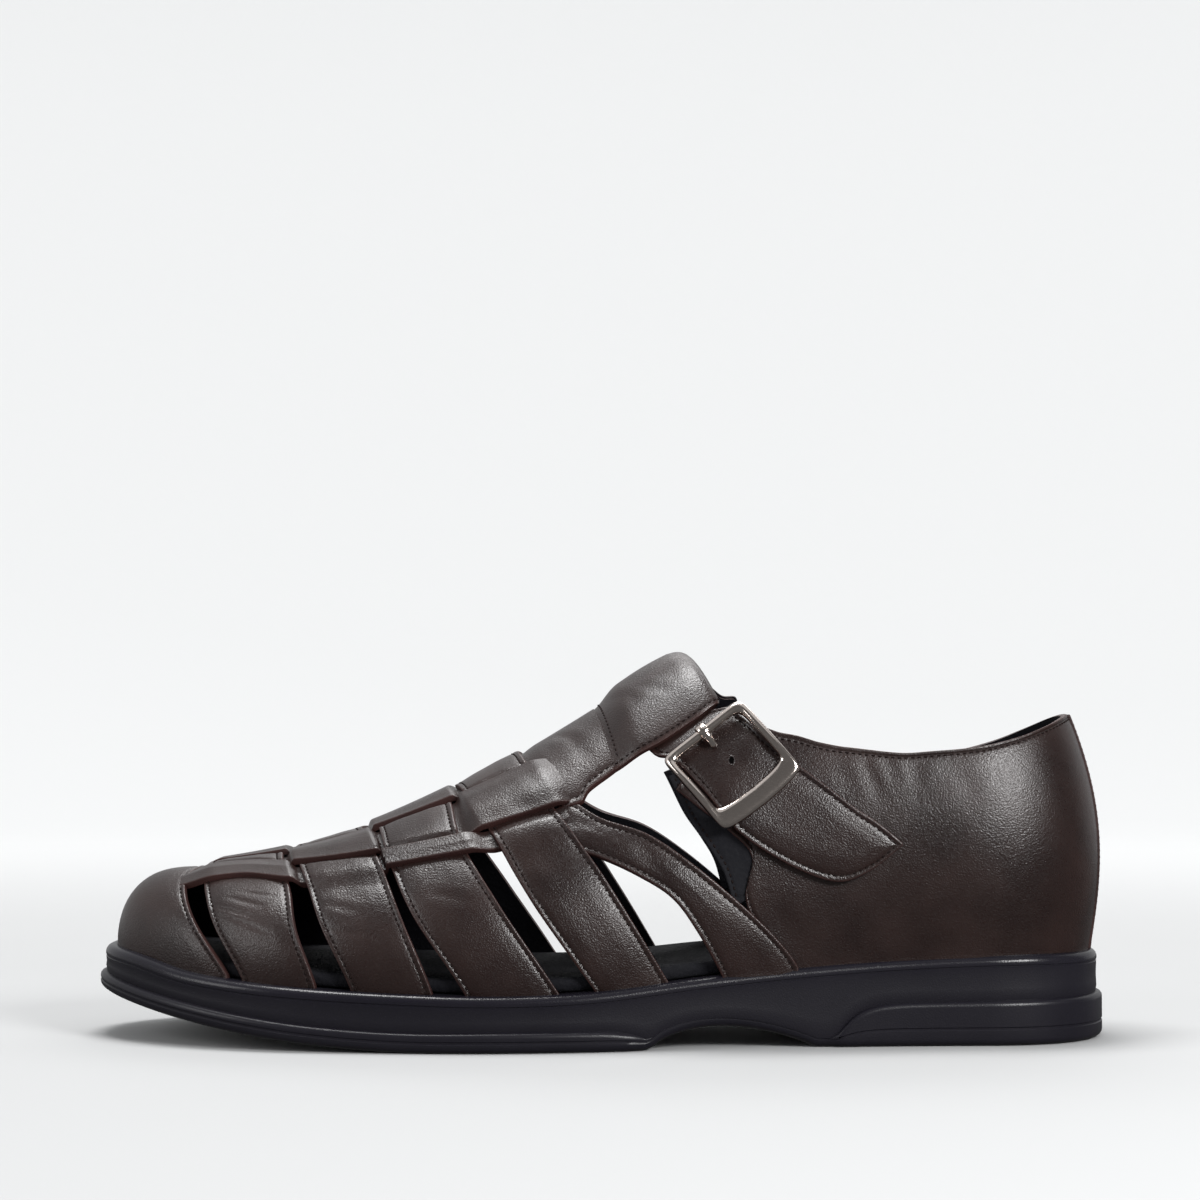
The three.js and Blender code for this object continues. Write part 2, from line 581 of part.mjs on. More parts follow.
// The moulded sole: rings from the floor up, with a rand in front, a heel panel and a round lip.
function sole(raise = 0) {
  const middle = [0.36, 0.42, 0.48, 0.51, 0.53, 0.545, 0.56, 0.58, 0.61, 0.64, 0.67, 0.7];
  const heel = [0.718, 0.728, 0.738, 0.75, 0.768, 0.8, 0.85, 0.9];
  const turns = [
    ...range(9).map((share) => share * 0.36),
    ...[...middle, ...heel].map(turnOf),
    ...range(6).map((share) => lerp(0.83, 1, share)),
  ].filter((turn, i, all) => i === 0 || turn > all[i - 1] + 0.004);
  const around = [
    ...turns.map((turn) => [turn, -1]),
    ...turns.slice(1, -1).reverse().map((turn) => [turn, 1]),
  ];
  const seat = (x) => read(SEAT, "height", x / SOLE_LENGTH) * HEEL_SEAT - CLEARANCE + raise;
  const wall = (x) => RAND_OUT * (1 - read(RAND, "proud", x / SOLE_LENGTH));
  const rand = (x) => floorLine(x) + read(RAND, "height", x / SOLE_LENGTH) * HEEL_PANEL;
  const levels = [
    { inset: () => RAND_OUT + BOTTOM_ROUND, height: floorLine },
    { inset: (x) => wall(x) + BOTTOM_ROUND * 0.3, height: (x) => floorLine(x) + BOTTOM_ROUND * 0.3 },
    { inset: wall, height: (x) => lerp(floorLine(x), rand(x), 0.4) },
    { inset: wall, height: (x) => rand(x) - 0.6 },
    { inset: () => RAND_OUT + 0.3, height: (x) => rand(x) + 0.2 },
    { inset: () => RAND_OUT, height: (x) => seat(x) - LIP_ROUND - 0.4 },
    { inset: () => RAND_OUT + LIP_ROUND * 0.3, height: (x) => seat(x) - LIP_ROUND * 0.3 },
    { inset: () => RAND_OUT + LIP_ROUND, height: seat },
  ];
  const rings = levels.map(({ inset, height }) =>
    around.map(([turn, side]) => {
      const [x] = solePlan(turn, side, 0);
      const [px, py] = solePlan(turn, side, inset(x));
      return new THREE.Vector3(px, py, height(px));
    }),
  );
  return closedLoft(rings);
}

// Rings that start at the toe's tip, run down the outer side and come back up the inner one.
function closedLoft(rings) {
  const size = rings[0].length;
  const triangles = [];
  rings.slice(1).forEach((_, r) => {
    for (let i = 0; i < size; i++) {
      const next = (i + 1) % size;
      const [a, b, c, d] = [r * size + i, r * size + next, (r + 1) * size + next, (r + 1) * size + i];
      triangles.push([a, b, c], [a, c, d]);
    }
  });
  [0, (rings.length - 1) * size].forEach((base) => {
    for (let i = 0; i < size / 2; i++) {
      const across = [base + i, base + i + 1, base + ((size - i - 1) % size), base + ((size - i) % size)];
      const [a, b, c, d] = across;
      const pair = [
        [a, b, c],
        [a, c, d],
      ];
      pair.forEach(([p, q, s]) => triangles.push(base === 0 ? [p, s, q] : [p, q, s]));
    }
  });
  return solidOf(rings.flat(), triangles);
}

// The footbed lies on the sole inside the wall.
function insole() {
  const turns = range(22);
  const around = [
    ...turns.map((turn) => [turn, -1]),
    ...turns.slice(1, -1).reverse().map((turn) => [turn, 1]),
  ];
  const half = BALL_WIDTH / 2 - SIDE_INSET;
  const ring = (inset, rise) =>
    around.map(([turn, side]) => {
      const [x, y] = outline(turn, side, LAST_START + inset, LAST_END - inset, half - inset);
      return new THREE.Vector3(x, y, read(SEAT, "height", x / SOLE_LENGTH) * HEEL_SEAT + rise);
    });
  return closedLoft([
    ring(INSOLE_INSET, 0),
    ring(INSOLE_INSET, INSOLE_THICK - 1),
    ring(INSOLE_INSET + 1, INSOLE_THICK),
  ]);
}

// The buckle's own axes: x along the bar, y along the strap away from the bar, z off the foot.
function buckleFrame() {
  const corner = (name) => overLast(...BUCKLE[name], FRAME_LIFT);
  const [a, b, c, d] = ["barLow", "barHigh", "endHigh", "endLow"].map(corner);
  const centre = a.clone().add(b).add(c).add(d).multiplyScalar(0.25);
  const x = b.clone().sub(a).add(c).sub(d).normalize();
  const y = c.clone().add(d).sub(a).sub(b);
  const z = x.clone().cross(y).normalize().negate();
  const yAxis = x.clone().cross(z).normalize();
  return { centre, x, y: yAxis, z };
}

function placeBuckle(points, axes) {
  return points.map(([px, py, pz]) =>
    axes.centre.clone().addScaledVector(axes.x, px).addScaledVector(axes.y, py).addScaledVector(axes.z, pz),
  );
}

const arch = (y) => -FRAME_ARCH * ((2 * y) / FRAME_LENGTH) ** 2;

// The frame: a round bar, two slim sides and a broad bowed far side, between two rounded outlines.
function frameSolid(axes) {
  const halfWidth = FRAME_WIDTH / 2;
  const halfLength = FRAME_LENGTH / 2;
  const rings = range(35).map((share) => {
    const angle = (2 * Math.PI * share * 35) / 36;
    const rounded = (value) => Math.sign(value) * Math.abs(value) ** (2 / FRAME_SQUARENESS);
    const [u, v] = [rounded(Math.cos(angle)), rounded(Math.sin(angle))];
    const far = clamp(v) ** 2;
    const bow = END_BOW * far * (1 - u * u);
    const outer = [u * halfWidth, v * (halfLength - (v > 0 ? END_BOW : 0)) + bow];
    const reach = v > 0 ? halfLength - END_BOW - END_WIDTH : halfLength - 2 * BAR_RADIUS;
    const inner = [u * (halfWidth - SIDE_WIDTH), v * reach + bow];
    const thick = lerp(2 * BAR_RADIUS, END_THICK, far);
    return range(7).map((turn) => {
      const round = (2 * Math.PI * turn * 7) / 8;
      const mix = (1 + Math.cos(round)) / 2;
      const [x, y] = [lerp(inner[0], outer[0], mix), lerp(inner[1], outer[1], mix)];
      return [x, y, arch(v * halfLength) + (Math.sin(round) * thick) / 2];
    });
  });
  const size = rings[0].length;
  const triangles = [];
  rings.forEach((_, r) => {
    for (let i = 0; i < size; i++) {
      const next = (i + 1) % size;
      const other = ((r + 1) % rings.length) * size;
      const [a, b, c, d] = [r * size + i, r * size + next, other + next, other + i];
      triangles.push([a, b, c], [a, c, d]);
    }
  });
  return solidOf(placeBuckle(rings.flat(), axes), triangles);
}

// The prong: a ring round the bar and a short pin that dips towards the strap's hole.
function prongSolid(axes) {
  const barY = -FRAME_LENGTH / 2 + BAR_RADIUS;
  const barZ = arch(FRAME_LENGTH / 2);
  const inner = BAR_RADIUS + CLEARANCE;
  const outer = inner + PRONG_WALL;
  const around = range(11).map((share) => (2 * Math.PI * share * 11) / 12);
  const circle = (radius, x) =>
    around.map((angle) => [x, barY + radius * Math.cos(angle), barZ + radius * Math.sin(angle)]);
  const half = PRONG_WIDTH / 2;
  const rings = [circle(inner, -half), circle(outer, -half), circle(outer, half), circle(inner, half)];
  const size = around.length;
  const triangles = [];
  rings.forEach((_, r) => {
    const other = ((r + 1) % 4) * size;
    for (let i = 0; i < size; i++) {
      const next = (i + 1) % size;
      const [a, b, c, d] = [r * size + i, r * size + next, other + next, other + i];
      triangles.push([a, b, c], [a, c, d]);
    }
  });
  const ring = solidOf(placeBuckle(rings.flat(), axes), triangles);
  const pin = new THREE.BoxGeometry(PRONG_WIDTH * 0.6, PRONG_REACH, PRONG_WALL);
  pin.deleteAttribute("normal");
  pin.deleteAttribute("uv");
  const box = mergeVertices(pin);
  const points = [];
  for (let i = 0; i < box.attributes.position.count; i++) {
    const [x, y, z] = [0, 1, 2].map((k) => box.attributes.position.getComponent(i, k));
    points.push([x, y + barY + inner + PRONG_REACH / 2 + 0.2, z + barZ]);
  }
  const faces = [];
  for (let i = 0; i < box.index.count; i += 3) faces.push([0, 1, 2].map((k) => box.index.getX(i + k)));
  return ring.add(solidOf(placeBuckle(points, axes), faces));
}

function upper() {
  const pieces = [
    toeCap(-1),
    toeCap(1),
    ...CROSS_STRAPS.map(crossStrap),
    ...STRIPS.map(lengthStrip),
    teePanel(),
    teeLoop(),
    branch(-1),
    branch(1),
    quarter(),
    facing(-1),
    facing(1),
    heelStay(),
  ];
  const wall = pieces.reduce((sum, piece) => sum.add(piece));
  const trimmed = wall.subtract(ankleStrap(CLEARANCE, 0.02)).subtract(sole(CLEARANCE));
  // Small closed pockets beside the crossings are filled: their shells have a negative volume.
  const shells = trimmed.decompose().filter((shell) => shell.volume() > 1);
  return shells.reduce((sum, shell) => sum.add(shell));
}

const LEATHER = { color: 0x3a2b26, roughness: 0.45, metalness: 0 };
const RUBBER = { color: 0x26232c, roughness: 0.5, metalness: 0 };
const LINING = { color: 0x17161a, roughness: 0.6, metalness: 0 };
const CHROME = { color: 0xd8d2cc, roughness: 0.15, metalness: 1 };

function named(name, solid, look) {
  const mesh = solid.getMesh();
  const geometry = new THREE.BufferGeometry();
  geometry.setAttribute("position", new THREE.BufferAttribute(mesh.vertProperties, 3));
  geometry.setIndex(new THREE.BufferAttribute(mesh.triVerts, 1));
  const made = new THREE.Mesh(geometry, new THREE.MeshStandardMaterial(look));
  made.name = name;
  return made;
}

const shoe = new THREE.Group();
const axes = buckleFrame();
shoe.add(
  named("sole", sole(), RUBBER),
  named("insole", insole(), LINING),
  named("upper", upper(), LEATHER),
  named("ankle_strap", ankleStrap(), LEATHER),
  named("buckle_frame", frameSolid(axes), CHROME),
  named("buckle_prong", prongSolid(axes), CHROME),
);

// The origin is on the floor under the middle of the shoe.
const bounds = new THREE.Box3().setFromObject(shoe);
shoe.position.set(-(bounds.min.x + bounds.max.x) / 2, -(bounds.min.y + bounds.max.y) / 2, -bounds.min.z);

export default shoe;
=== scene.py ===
import math

import bmesh
import bpy
import numpy as np
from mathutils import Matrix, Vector


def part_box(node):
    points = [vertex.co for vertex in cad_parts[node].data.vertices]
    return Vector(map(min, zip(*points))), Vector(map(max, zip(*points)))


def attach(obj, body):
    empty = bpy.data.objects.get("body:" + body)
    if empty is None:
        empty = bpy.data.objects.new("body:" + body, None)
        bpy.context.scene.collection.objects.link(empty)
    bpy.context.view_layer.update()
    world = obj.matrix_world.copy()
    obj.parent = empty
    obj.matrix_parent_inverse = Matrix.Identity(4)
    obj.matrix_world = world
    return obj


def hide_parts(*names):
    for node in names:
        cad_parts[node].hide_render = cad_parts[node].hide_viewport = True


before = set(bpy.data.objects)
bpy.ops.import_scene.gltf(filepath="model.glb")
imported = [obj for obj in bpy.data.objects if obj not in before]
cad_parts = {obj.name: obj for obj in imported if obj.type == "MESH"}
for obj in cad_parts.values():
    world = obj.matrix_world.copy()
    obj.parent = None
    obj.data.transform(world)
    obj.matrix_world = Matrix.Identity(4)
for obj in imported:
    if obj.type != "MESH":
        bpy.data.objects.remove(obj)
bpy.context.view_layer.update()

# Driving sizes of the shoe, in millimetres
SOLE_LENGTH = 300.0
BALL_WIDTH = 107.0
HEEL_SEAT = 26.0
INSTEP_HEIGHT = 110.0
RAND_OUT = 1.5
LIP_ROUND = 2.4
BOTTOM_ROUND = 2.8
TOE_SPRING = 14.0
SPRING_END = 105.0
ARCH_START = 165.0
ARCH_END = 212.0
ARCH_HEIGHT = 6.4
HEEL_PANEL = 13.2
WALL = 2.0
WEAVE_LIFT = 1.9
DRAPE = 1.5
TUCK = -0.6
MERGE = -1.1
STRIP_GAP = 0.002
TOE_INSET = 7.2
HEEL_INSET = 6.0
SIDE_INSET = 6.5
CLEARANCE = 0.3
SKIRT = 1.5
INSOLE_THICK = 4.0
INSOLE_INSET = 0.9
STRAP_THICK = 2.2
LOOP_LAYER = 1.9
PLY = 0.95
PLY_GAP = 0.12
FRAME_WIDTH = 29.5
FRAME_LENGTH = 29.8
BAR_RADIUS = 1.5
SIDE_WIDTH = 2.7
END_WIDTH = 6.0
END_THICK = 3.2
FRAME_SQUARENESS = 12.0
FRAME_ARCH = 1.2
END_BOW = 1.2
FRAME_LIFT = 7.9
PRONG_WIDTH = 3.0
PRONG_WALL = 0.9
PIN_REACH = 4.2
PIN_FLAT = 1.75
TOE_CAP_SHARE = 0.23
TOE_POWER = 2.3
HEEL_CAP_SHARE = 0.13
HEEL_POWER = 2.2
TOE_SHIFT = 0.075
RIDGE_SHIFT = 0.057
TOE_FAN = 0.06
TOE_FAN_END = 0.183
HEEL_FAN = 0.11
HEEL_FAN_END = 0.233
BULGE_TOP = 0.7
COLLAR_DROP = 0.025
INNER_TUCK = 0.03
AT_SEAT = 3.18  # where along the quarter its lower edge reaches the sole

# Leather detail, in millimetres
EDGE_ROUND = 0.5  # rounding of a cut edge
EDGE_DROP = 0.32  # how far the face falls at a cut edge
SEAM_IN = 1.6  # from the edge to its row of stitches
SEAM_DEPTH = 0.26  # how far the stitches pull the leather in
CROWN = 0.35  # how far a strap swells between its edges
STITCH_PITCH = 1.9
STITCH_LENGTH = 1.25
STITCH_WIDTH = 0.58


def table(names, *rows):
    """Columns of a short table by name."""
    return {name: np.array(column, float) for name, column in zip(names.split(), zip(*rows))}


PLAN = table(
    "at lateral medial",
    (0.0, 0.76, 0.92),
    (0.1, 0.86, 0.955),
    (0.2, 0.955, 0.97),
    (0.3, 1.02, 0.965),
    (0.38, 1.045, 0.92),
    (0.47, 1.0, 0.81),
    (0.57, 0.89, 0.69),
    (0.67, 0.79, 0.64),
    (0.78, 0.715, 0.66),
    (0.88, 0.69, 0.675),
    (1.0, 0.69, 0.69),
)
SEAT = table(
    "at height",
    (0.0, 1.04),
    (0.04, 0.98),
    (0.1, 0.823),
    (0.2, 0.71),
    (0.34, 0.635),
    (0.42, 0.623),
    (0.5, 0.66),
    (0.6, 0.79),
    (0.7, 0.895),
    (0.8, 0.97),
    (0.9, 1.01),
    (1.0, 1.0),
)
RIDGE = table(
    "at height",
    (0.0, 0.4),
    (0.085, 0.425),
    (0.19, 0.47),
    (0.263, 0.528),
    (0.35, 0.631),
    (0.42, 0.735),
    (0.5, 0.867),
    (0.557, 0.969),
    (0.617, 1.05),
    (0.7, 1.136),
    (0.8, 1.155),
    (0.9, 1.127),
    (1.0, 1.09),
)
SECTION = table(
    "at power bulge",
    (0.0, 2.35, 0),
    (0.1, 2.35, 0),
    (0.3, 2.15, 0.02),
    (0.5, 1.9, 0.03),
    (0.62, 2.0, 0.05),
    (0.8, 2.6, 0.1),
    (1.0, 2.6, 0.11),
)
RAND = table(
    "at height proud",
    (0.0, 0.38, 1),
    (0.2, 0.41, 1),
    (0.5, 0.44, 1),
    (0.53, 0.37, 0.85),
    (0.55, 0.23, 0),
    (0.718, 0.18, 0),
    (0.728, 0.3, 0.9),
    (0.738, 0.55, 1),
    (0.75, 0.76, 1),
    (0.768, 0.89, 1),
    (0.8, 0.95, 1),
    (1.0, 1.0, 1),
)
CAP_EDGE = table("at share", (0, 0.05), (0.25, 0.055), (0.5, 0.069), (0.75, 0.092), (1, 0.128))
CROSS_STRAPS = [
    table(
        "at front back",
        (0, 0.072, 0.166),
        (0.25, 0.079, 0.174),
        (0.5, 0.093, 0.186),
        (0.75, 0.112, 0.196),
        (1, 0.143, 0.217),
    ),
    table(
        "at front back",
        (0, 0.18, 0.25),
        (0.25, 0.189, 0.263),
        (0.5, 0.204, 0.281),
        (0.75, 0.222, 0.303),
        (1, 0.252, 0.333),
    ),
    table(
        "at front back",
        (0, 0.266, 0.34),
        (0.25, 0.276, 0.349),
        (0.5, 0.289, 0.362),
        (0.75, 0.315, 0.4),
        (1, 0.365, 0.457),
    ),
    table(
        "at front back",
        (0, 0.35, 0.415),
        (0.25, 0.365, 0.428),
        (0.5, 0.391, 0.455),
        (0.75, 0.431, 0.507),
        (1, 0.492, 0.565),
    ),
]
STRIP_LINES = table(
    "at outer side middle",
    (0.06, 0.41, 0.17, 0.05),
    (0.13, 0.365, 0.19, 0.065),
    (0.19, 0.455, 0.3, 0.095),
    (0.28, 0.503, 0.4, 0.16),
    (0.37, 0.545, 0.46, 0.215),
    (0.47, 0.58, 0.488, 0.262),
)
STRIP_START = 0.04
PANEL_TUCK = 0.014
STRIP_END = 0.478
PANEL = table(
    "at ridge edge across",
    (0, 0.418, 0.458, 0.49),
    (0.5, 0.455, 0.48, 0.5),
    (0.7, 0.472, 0.488, 0.47),
    (1, 0.495, 0.514, 0.447),
)
LOOP = table(
    "at ridge edge across",
    (0, 0.493, 0.512, 0.447),
    (0.5, 0.54, 0.562, 0.45),
    (1, 0.588, 0.619, 0.41),
)
BRANCH = table(
    "at low_at low high_at high lift",
    (0, 0.45, 0.6, 0.462, 0.45, -0.4),
    (0.2, 0.494, 0.669, 0.497, 0.567, 0),
    (0.4, 0.539, 0.756, 0.545, 0.662, 0.1),
    (0.6, 0.571, 0.826, 0.595, 0.776, 0.45),
    (0.8, 0.595, 0.908, 0.645, 0.89, 0.6),
    (1, 0.618, 1, 0.695, 1, 0.6),
)
# Rows of the quarter from its front end to the heel; at runs with the length of the collar
QUARTER = table(
    "at low_at low high_at high",
    (0, 0.575, 0.585, 0.625, 0.455),
    (0.5, 0.6, 0.655, 0.64, 0.48),
    (1.17, 0.629, 0.727, 0.66, 0.513),
    (1.87, 0.65, 0.795, 0.68, 0.553),
    (2.46, 0.643, 0.865, 0.698, 0.579),
    (3.18, 0.66, 0.95, 0.72, 0.612),
    (4.06, 0.69, 1, 0.748, 0.641),
    (5.59, 0.75, 1, 0.798, 0.673),
    (6.55, 0.82, 1, 0.83, 0.676),
    (8.05, 0.88, 1, 0.88, 0.667),
    (9.42, 0.925, 1, 0.925, 0.641),
    (10.6, 0.96, 1, 0.96, 0.61),
    (11.7, 0.983, 1, 0.983, 0.588),
    (12.8, 0.9955, 1, 0.9955, 0.577),
    (14, 1, 1, 1, 0.574),
)
FACING = table(
    "at low_at low high_at high",
    (0.0, 0.567, 0.54, 0.6, 0.54),
    (0.35, 0.588, 0.665, 0.62, 0.64),
    (0.62, 0.608, 0.745, 0.645, 0.72),
    (0.82, 0.622, 0.805, 0.66, 0.785),
    (1.0, 0.631, 0.875, 0.67, 0.86),
)
# The ankle strap from its tip on the outer quarter, over the instep at row 9, to its inner end
ANKLE_STRAP = table(
    "at low_at low high_at high lift",
    (0, 0.8, -0.853, 0.8, -0.849, 1),
    (1, 0.766, -0.884, 0.776, -0.808, 1),
    (2, 0.731, -0.886, 0.746, -0.758, 1),
    (3, 0.685, -0.832, 0.698, -0.653, 1),
    (4, 0.635, -0.733, 0.667, -0.565, 1),
    (5, 0.602, -0.62, 0.650, -0.5, 1),
    (6, 0.572, -0.51, 0.632, -0.435, 0.7),
    (7, 0.55, -0.445, 0.608, -0.39, 0),
    (8, 0.53, -0.25, 0.59, -0.22, 0),
    (9, 0.516, 0, 0.574, 0, 0),
    (10, 0.53, 0.25, 0.6, 0.22, 0),
    (11, 0.55, 0.445, 0.627, 0.37, 0),
    (12, 0.572, 0.51, 0.647, 0.42, 0.7),
    (13, 0.602, 0.62, 0.645, 0.5, 1),
    (14, 0.635, 0.733, 0.664, 0.565, 1),
    (15, 0.672, 0.8, 0.69, 0.64, 1),
)
BUCKLE = {
    "bar_low": (0.56, -0.511),
    "bar_high": (0.637, -0.457),
    "end_high": (0.707, -0.663),
    "end_low": (0.628, -0.734),
}
# Creases of the leather: two ends on the last (share, across), half width and depth in millimetres
CREASES = table(
    "share_a across_a share_b across_b width depth",
    (0.108, -0.6, 0.15, -0.68, 1.5, 0.22),
    (0.122, -0.54, 0.158, -0.61, 1.3, 0.2),
    (0.12, -0.66, 0.168, -0.77, 1.2, 0.16),
    (0.135, -0.5, 0.17, -0.55, 1.1, 0.14),
    (0.22, -0.62, 0.262, -0.7, 1.8, 0.14),
    (0.225, -0.75, 0.27, -0.8, 1.6, 0.12),
    (0.33, -0.66, 0.37, -0.72, 1.9, 0.14),
    (0.41, -0.66, 0.45, -0.74, 1.9, 0.16),
    (0.425, -0.3, 0.455, -0.45, 2.2, 0.12),
    (0.47, -0.22, 0.49, -0.38, 1.9, 0.16),
    (0.405, -0.38, 0.44, -0.5, 2.2, 0.1),
    (0.455, -0.1, 0.478, -0.26, 1.6, 0.2),
    (0.45, -0.52, 0.5, -0.6, 2.0, 0.24),
    (0.53, -0.66, 0.56, -0.76, 1.8, 0.18),
    (0.545, -0.2, 0.575, -0.3, 1.4, 0.2),
    (0.51, -0.1, 0.54, -0.26, 1.8, 0.16),
    (0.735, -0.67, 0.752, -0.72, 2.4, 0.13),
    (0.762, -0.675, 0.78, -0.755, 1.9, 0.18),
    (0.783, -0.68, 0.797, -0.735, 1.7, 0.14),
    (0.815, -0.69, 0.817, -0.76, 2.6, 0.12),
    (0.86, -0.71, 0.875, -0.79, 3.4, 0.14),
    (0.66, -0.9, 0.7, -0.97, 3.0, 0.22),
    (0.47, 0.22, 0.49, 0.38, 1.9, 0.14),
    (0.12, 0.6, 0.158, 0.68, 1.5, 0.2),
    (0.13, 0.52, 0.165, 0.58, 1.2, 0.16),
    (0.225, 0.66, 0.262, 0.74, 1.8, 0.14),
    (0.45, 0.55, 0.5, 0.63, 2.0, 0.22),
    (0.74, 0.7, 0.752, 0.76, 2.4, 0.14),
    (0.767, 0.71, 0.78, 0.78, 1.9, 0.17),
    (0.79, 0.71, 0.8, 0.775, 2.2, 0.13),
    (0.87, 0.74, 0.88, 0.83, 3.4, 0.14),
)


def clamp(value, low=0.0, high=1.0):
    return np.clip(value, low, high)


def lerp(a, b, share):
    return a + (b - a) * share


def ease(value):
    """Smooth step from 0 to 1."""
    value = clamp(value)
    return value * value * (3 - 2 * value)


def read(rows, column, at):
    """Smooth value of a table's column, with the slope at each row taken from its neighbours."""
    place, values = rows["at"], rows[column]
    x = clamp(np.asarray(at, float), place[0], place[-1])
    i = clamp(np.searchsorted(place, x, side="right") - 1, 0, len(place) - 2).astype(int)
    before = np.maximum(np.arange(len(place)) - 1, 0)
    after = np.minimum(np.arange(len(place)) + 1, len(place) - 1)
    slope = (values[after] - values[before]) / (place[after] - place[before])
    step = place[i + 1] - place[i]
    t = (x - place[i]) / step
    rise = values[i + 1] - values[i]
    bend = (1 - t) * (slope[i] * step - rise) - t * (slope[i + 1] * step - rise)
    return values[i] + t * rise + t * (1 - t) * bend


def round_end(distance, length, power):
    return (1 - clamp(1 - distance / length) ** power) ** (1 / power)


def outline(turn, side, start, end, half):
    """A point of an outline; turn runs from 0 at the toe to 1 at the heel, side is -1 or 1."""
    share = (1 - np.cos(np.pi * turn)) / 2
    x = lerp(start, end, share)
    rounding = round_end(x - start, TOE_CAP_SHARE * SOLE_LENGTH, TOE_POWER) * round_end(
        end - x, HEEL_CAP_SHARE * SOLE_LENGTH, HEEL_POWER
    )
    width = np.where(side < 0, read(PLAN, "lateral", share), read(PLAN, "medial", share))
    middle = TOE_SHIFT * BALL_WIDTH / 2 * clamp(1 - share / 0.3) ** 2
    return x, middle + side * width * half * rounding


def turn_of(share):
    return np.sign(share) * np.arccos(1 - 2 * clamp(np.abs(share))) / np.pi


LAST_START = TOE_INSET
LAST_END = SOLE_LENGTH - HEEL_INSET


def last_point(turn, across):
    """A point on the last: across is -1 at the outer seat, 0 at the ridge and 1 at the inner seat."""
    past = (turn < 0) | (turn > 1)
    inside = np.where(turn < 0, -turn, np.where(turn > 1, 2 - turn, turn))
    across = np.where(past, -across, across)
    side = np.where(across < 0, -1.0, 1.0)
    x, y = outline(inside, side, LAST_START, LAST_END, BALL_WIDTH / 2 - SIDE_INSET)
    share = x / SOLE_LENGTH
    from_toe = (x - LAST_START) / SOLE_LENGTH
    from_heel = (LAST_END - x) / SOLE_LENGTH
    fan = TOE_FAN * clamp(1 - from_toe / TOE_FAN_END) ** 2
    fan = fan - HEEL_FAN * clamp(1 - from_heel / HEEL_FAN_END) ** 2
    ridge_x = x + SOLE_LENGTH * fan
    ridge_y = RIDGE_SHIFT * BALL_WIDTH / 2
    up = 1 - np.abs(across)
    angle = np.pi / 2 * clamp(up)
    power = read(SECTION, "power", share)
    rise = np.sin(angle) ** (2 / power)
    bulge = 1 + read(SECTION, "bulge", share) * np.sin(np.pi * clamp(rise / BULGE_TOP))
    out = np.maximum(0, np.cos(angle)) ** (2 / power) * bulge
    seat = read(SEAT, "height", share) * HEEL_SEAT
    ridge = read(RIDGE, "height", ridge_x / SOLE_LENGTH) * INSTEP_HEIGHT
    below = np.minimum(0, up) * INSTEP_HEIGHT
    return np.stack(
        [lerp(ridge_x, x, out), lerp(ridge_y, y, out), lerp(seat, ridge, rise) + below], axis=-1
    )


def unit(vectors):
    return vectors / np.maximum(np.linalg.norm(vectors, axis=-1, keepdims=True), 1e-12)


def last_normal(share, across):
    small = 1e-3
    turn = turn_of(share)
    shown = clamp(across, -1 + small, 1 - small)
    along = last_point(turn + small, shown) - last_point(turn - small, shown)
    round_ = last_point(turn, shown + small) - last_point(turn, shown - small)
    return unit(np.cross(along, round_))


def over_last(share, across, lift):
    """Points at some height over the last, along its outward normal."""
    share, across, lift = np.broadcast_arrays(share, across, lift)
    share, across = share.astype(float), across.astype(float)
    return last_point(turn_of(share), across) + last_normal(share, across) * lift[..., None]


def crease(share, across):
    """How far the leather is pressed in by its creases, in millimetres."""
    along_mm, round_mm = LAST_END - LAST_START, INSTEP_HEIGHT
    x, y = share * along_mm, across * round_mm
    depth = np.zeros_like(x)
    for row in range(len(CREASES["width"])):
        ax, ay = CREASES["share_a"][row] * along_mm, CREASES["across_a"][row] * round_mm
        bx, by = CREASES["share_b"][row] * along_mm, CREASES["across_b"][row] * round_mm
        length = (bx - ax) ** 2 + (by - ay) ** 2
        t = clamp(((x - ax) * (bx - ax) + (y - ay) * (by - ay)) / length)
        away = np.hypot(x - lerp(ax, bx, t), y - lerp(ay, by, t)) / CREASES["width"][row]
        fade = np.sin(np.pi * clamp(0.12 + 0.76 * t))
        depth += CREASES["depth"][row] * fade * (np.exp(-(away**2)) - 0.4 * np.exp(-((away - 1.9) ** 2)))
    return depth


# The frame's origin lies on the floor under the middle of the shoe.
outer_edge = outline(np.linspace(0, 1, 2001), -1.0, 0.0, SOLE_LENGTH, BALL_WIDTH / 2)[1].min()
sole_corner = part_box("sole")[0]
ORIGIN = np.array([-sole_corner[0] * 1000, outer_edge - sole_corner[1] * 1000, 0.0])


def to_frame(points):
    return (np.asarray(points, float) - ORIGIN) / 1000


# Materials

SPECK_GLINT = 0.4  # how far the finest specks change the roughness
PATCH_START = 0.35  # noise at which the warmer tone begins
PATCH_CONTRAST = 3.0
SMOOTHER, ROUGHER = 0.07, 0.09  # spread of the roughness over the patches
SWELL_DEPTH = 0.001  # in metres, as all depths of relief
GRAIN_DEPTH = 0.0003


def group(name, inputs, outputs):
    """An empty shader group with named float, colour or vector sockets."""
    tree = bpy.data.node_groups.new(name, "ShaderNodeTree")
    for label, kind, value in inputs:
        socket = tree.interface.new_socket(label, in_out="INPUT", socket_type="NodeSocket" + kind)
        if value is not None:
            socket.default_value = value
    for label, kind in outputs:
        tree.interface.new_socket(label, in_out="OUTPUT", socket_type="NodeSocket" + kind)
    return tree, tree.nodes.new("NodeGroupInput"), tree.nodes.new("NodeGroupOutput")


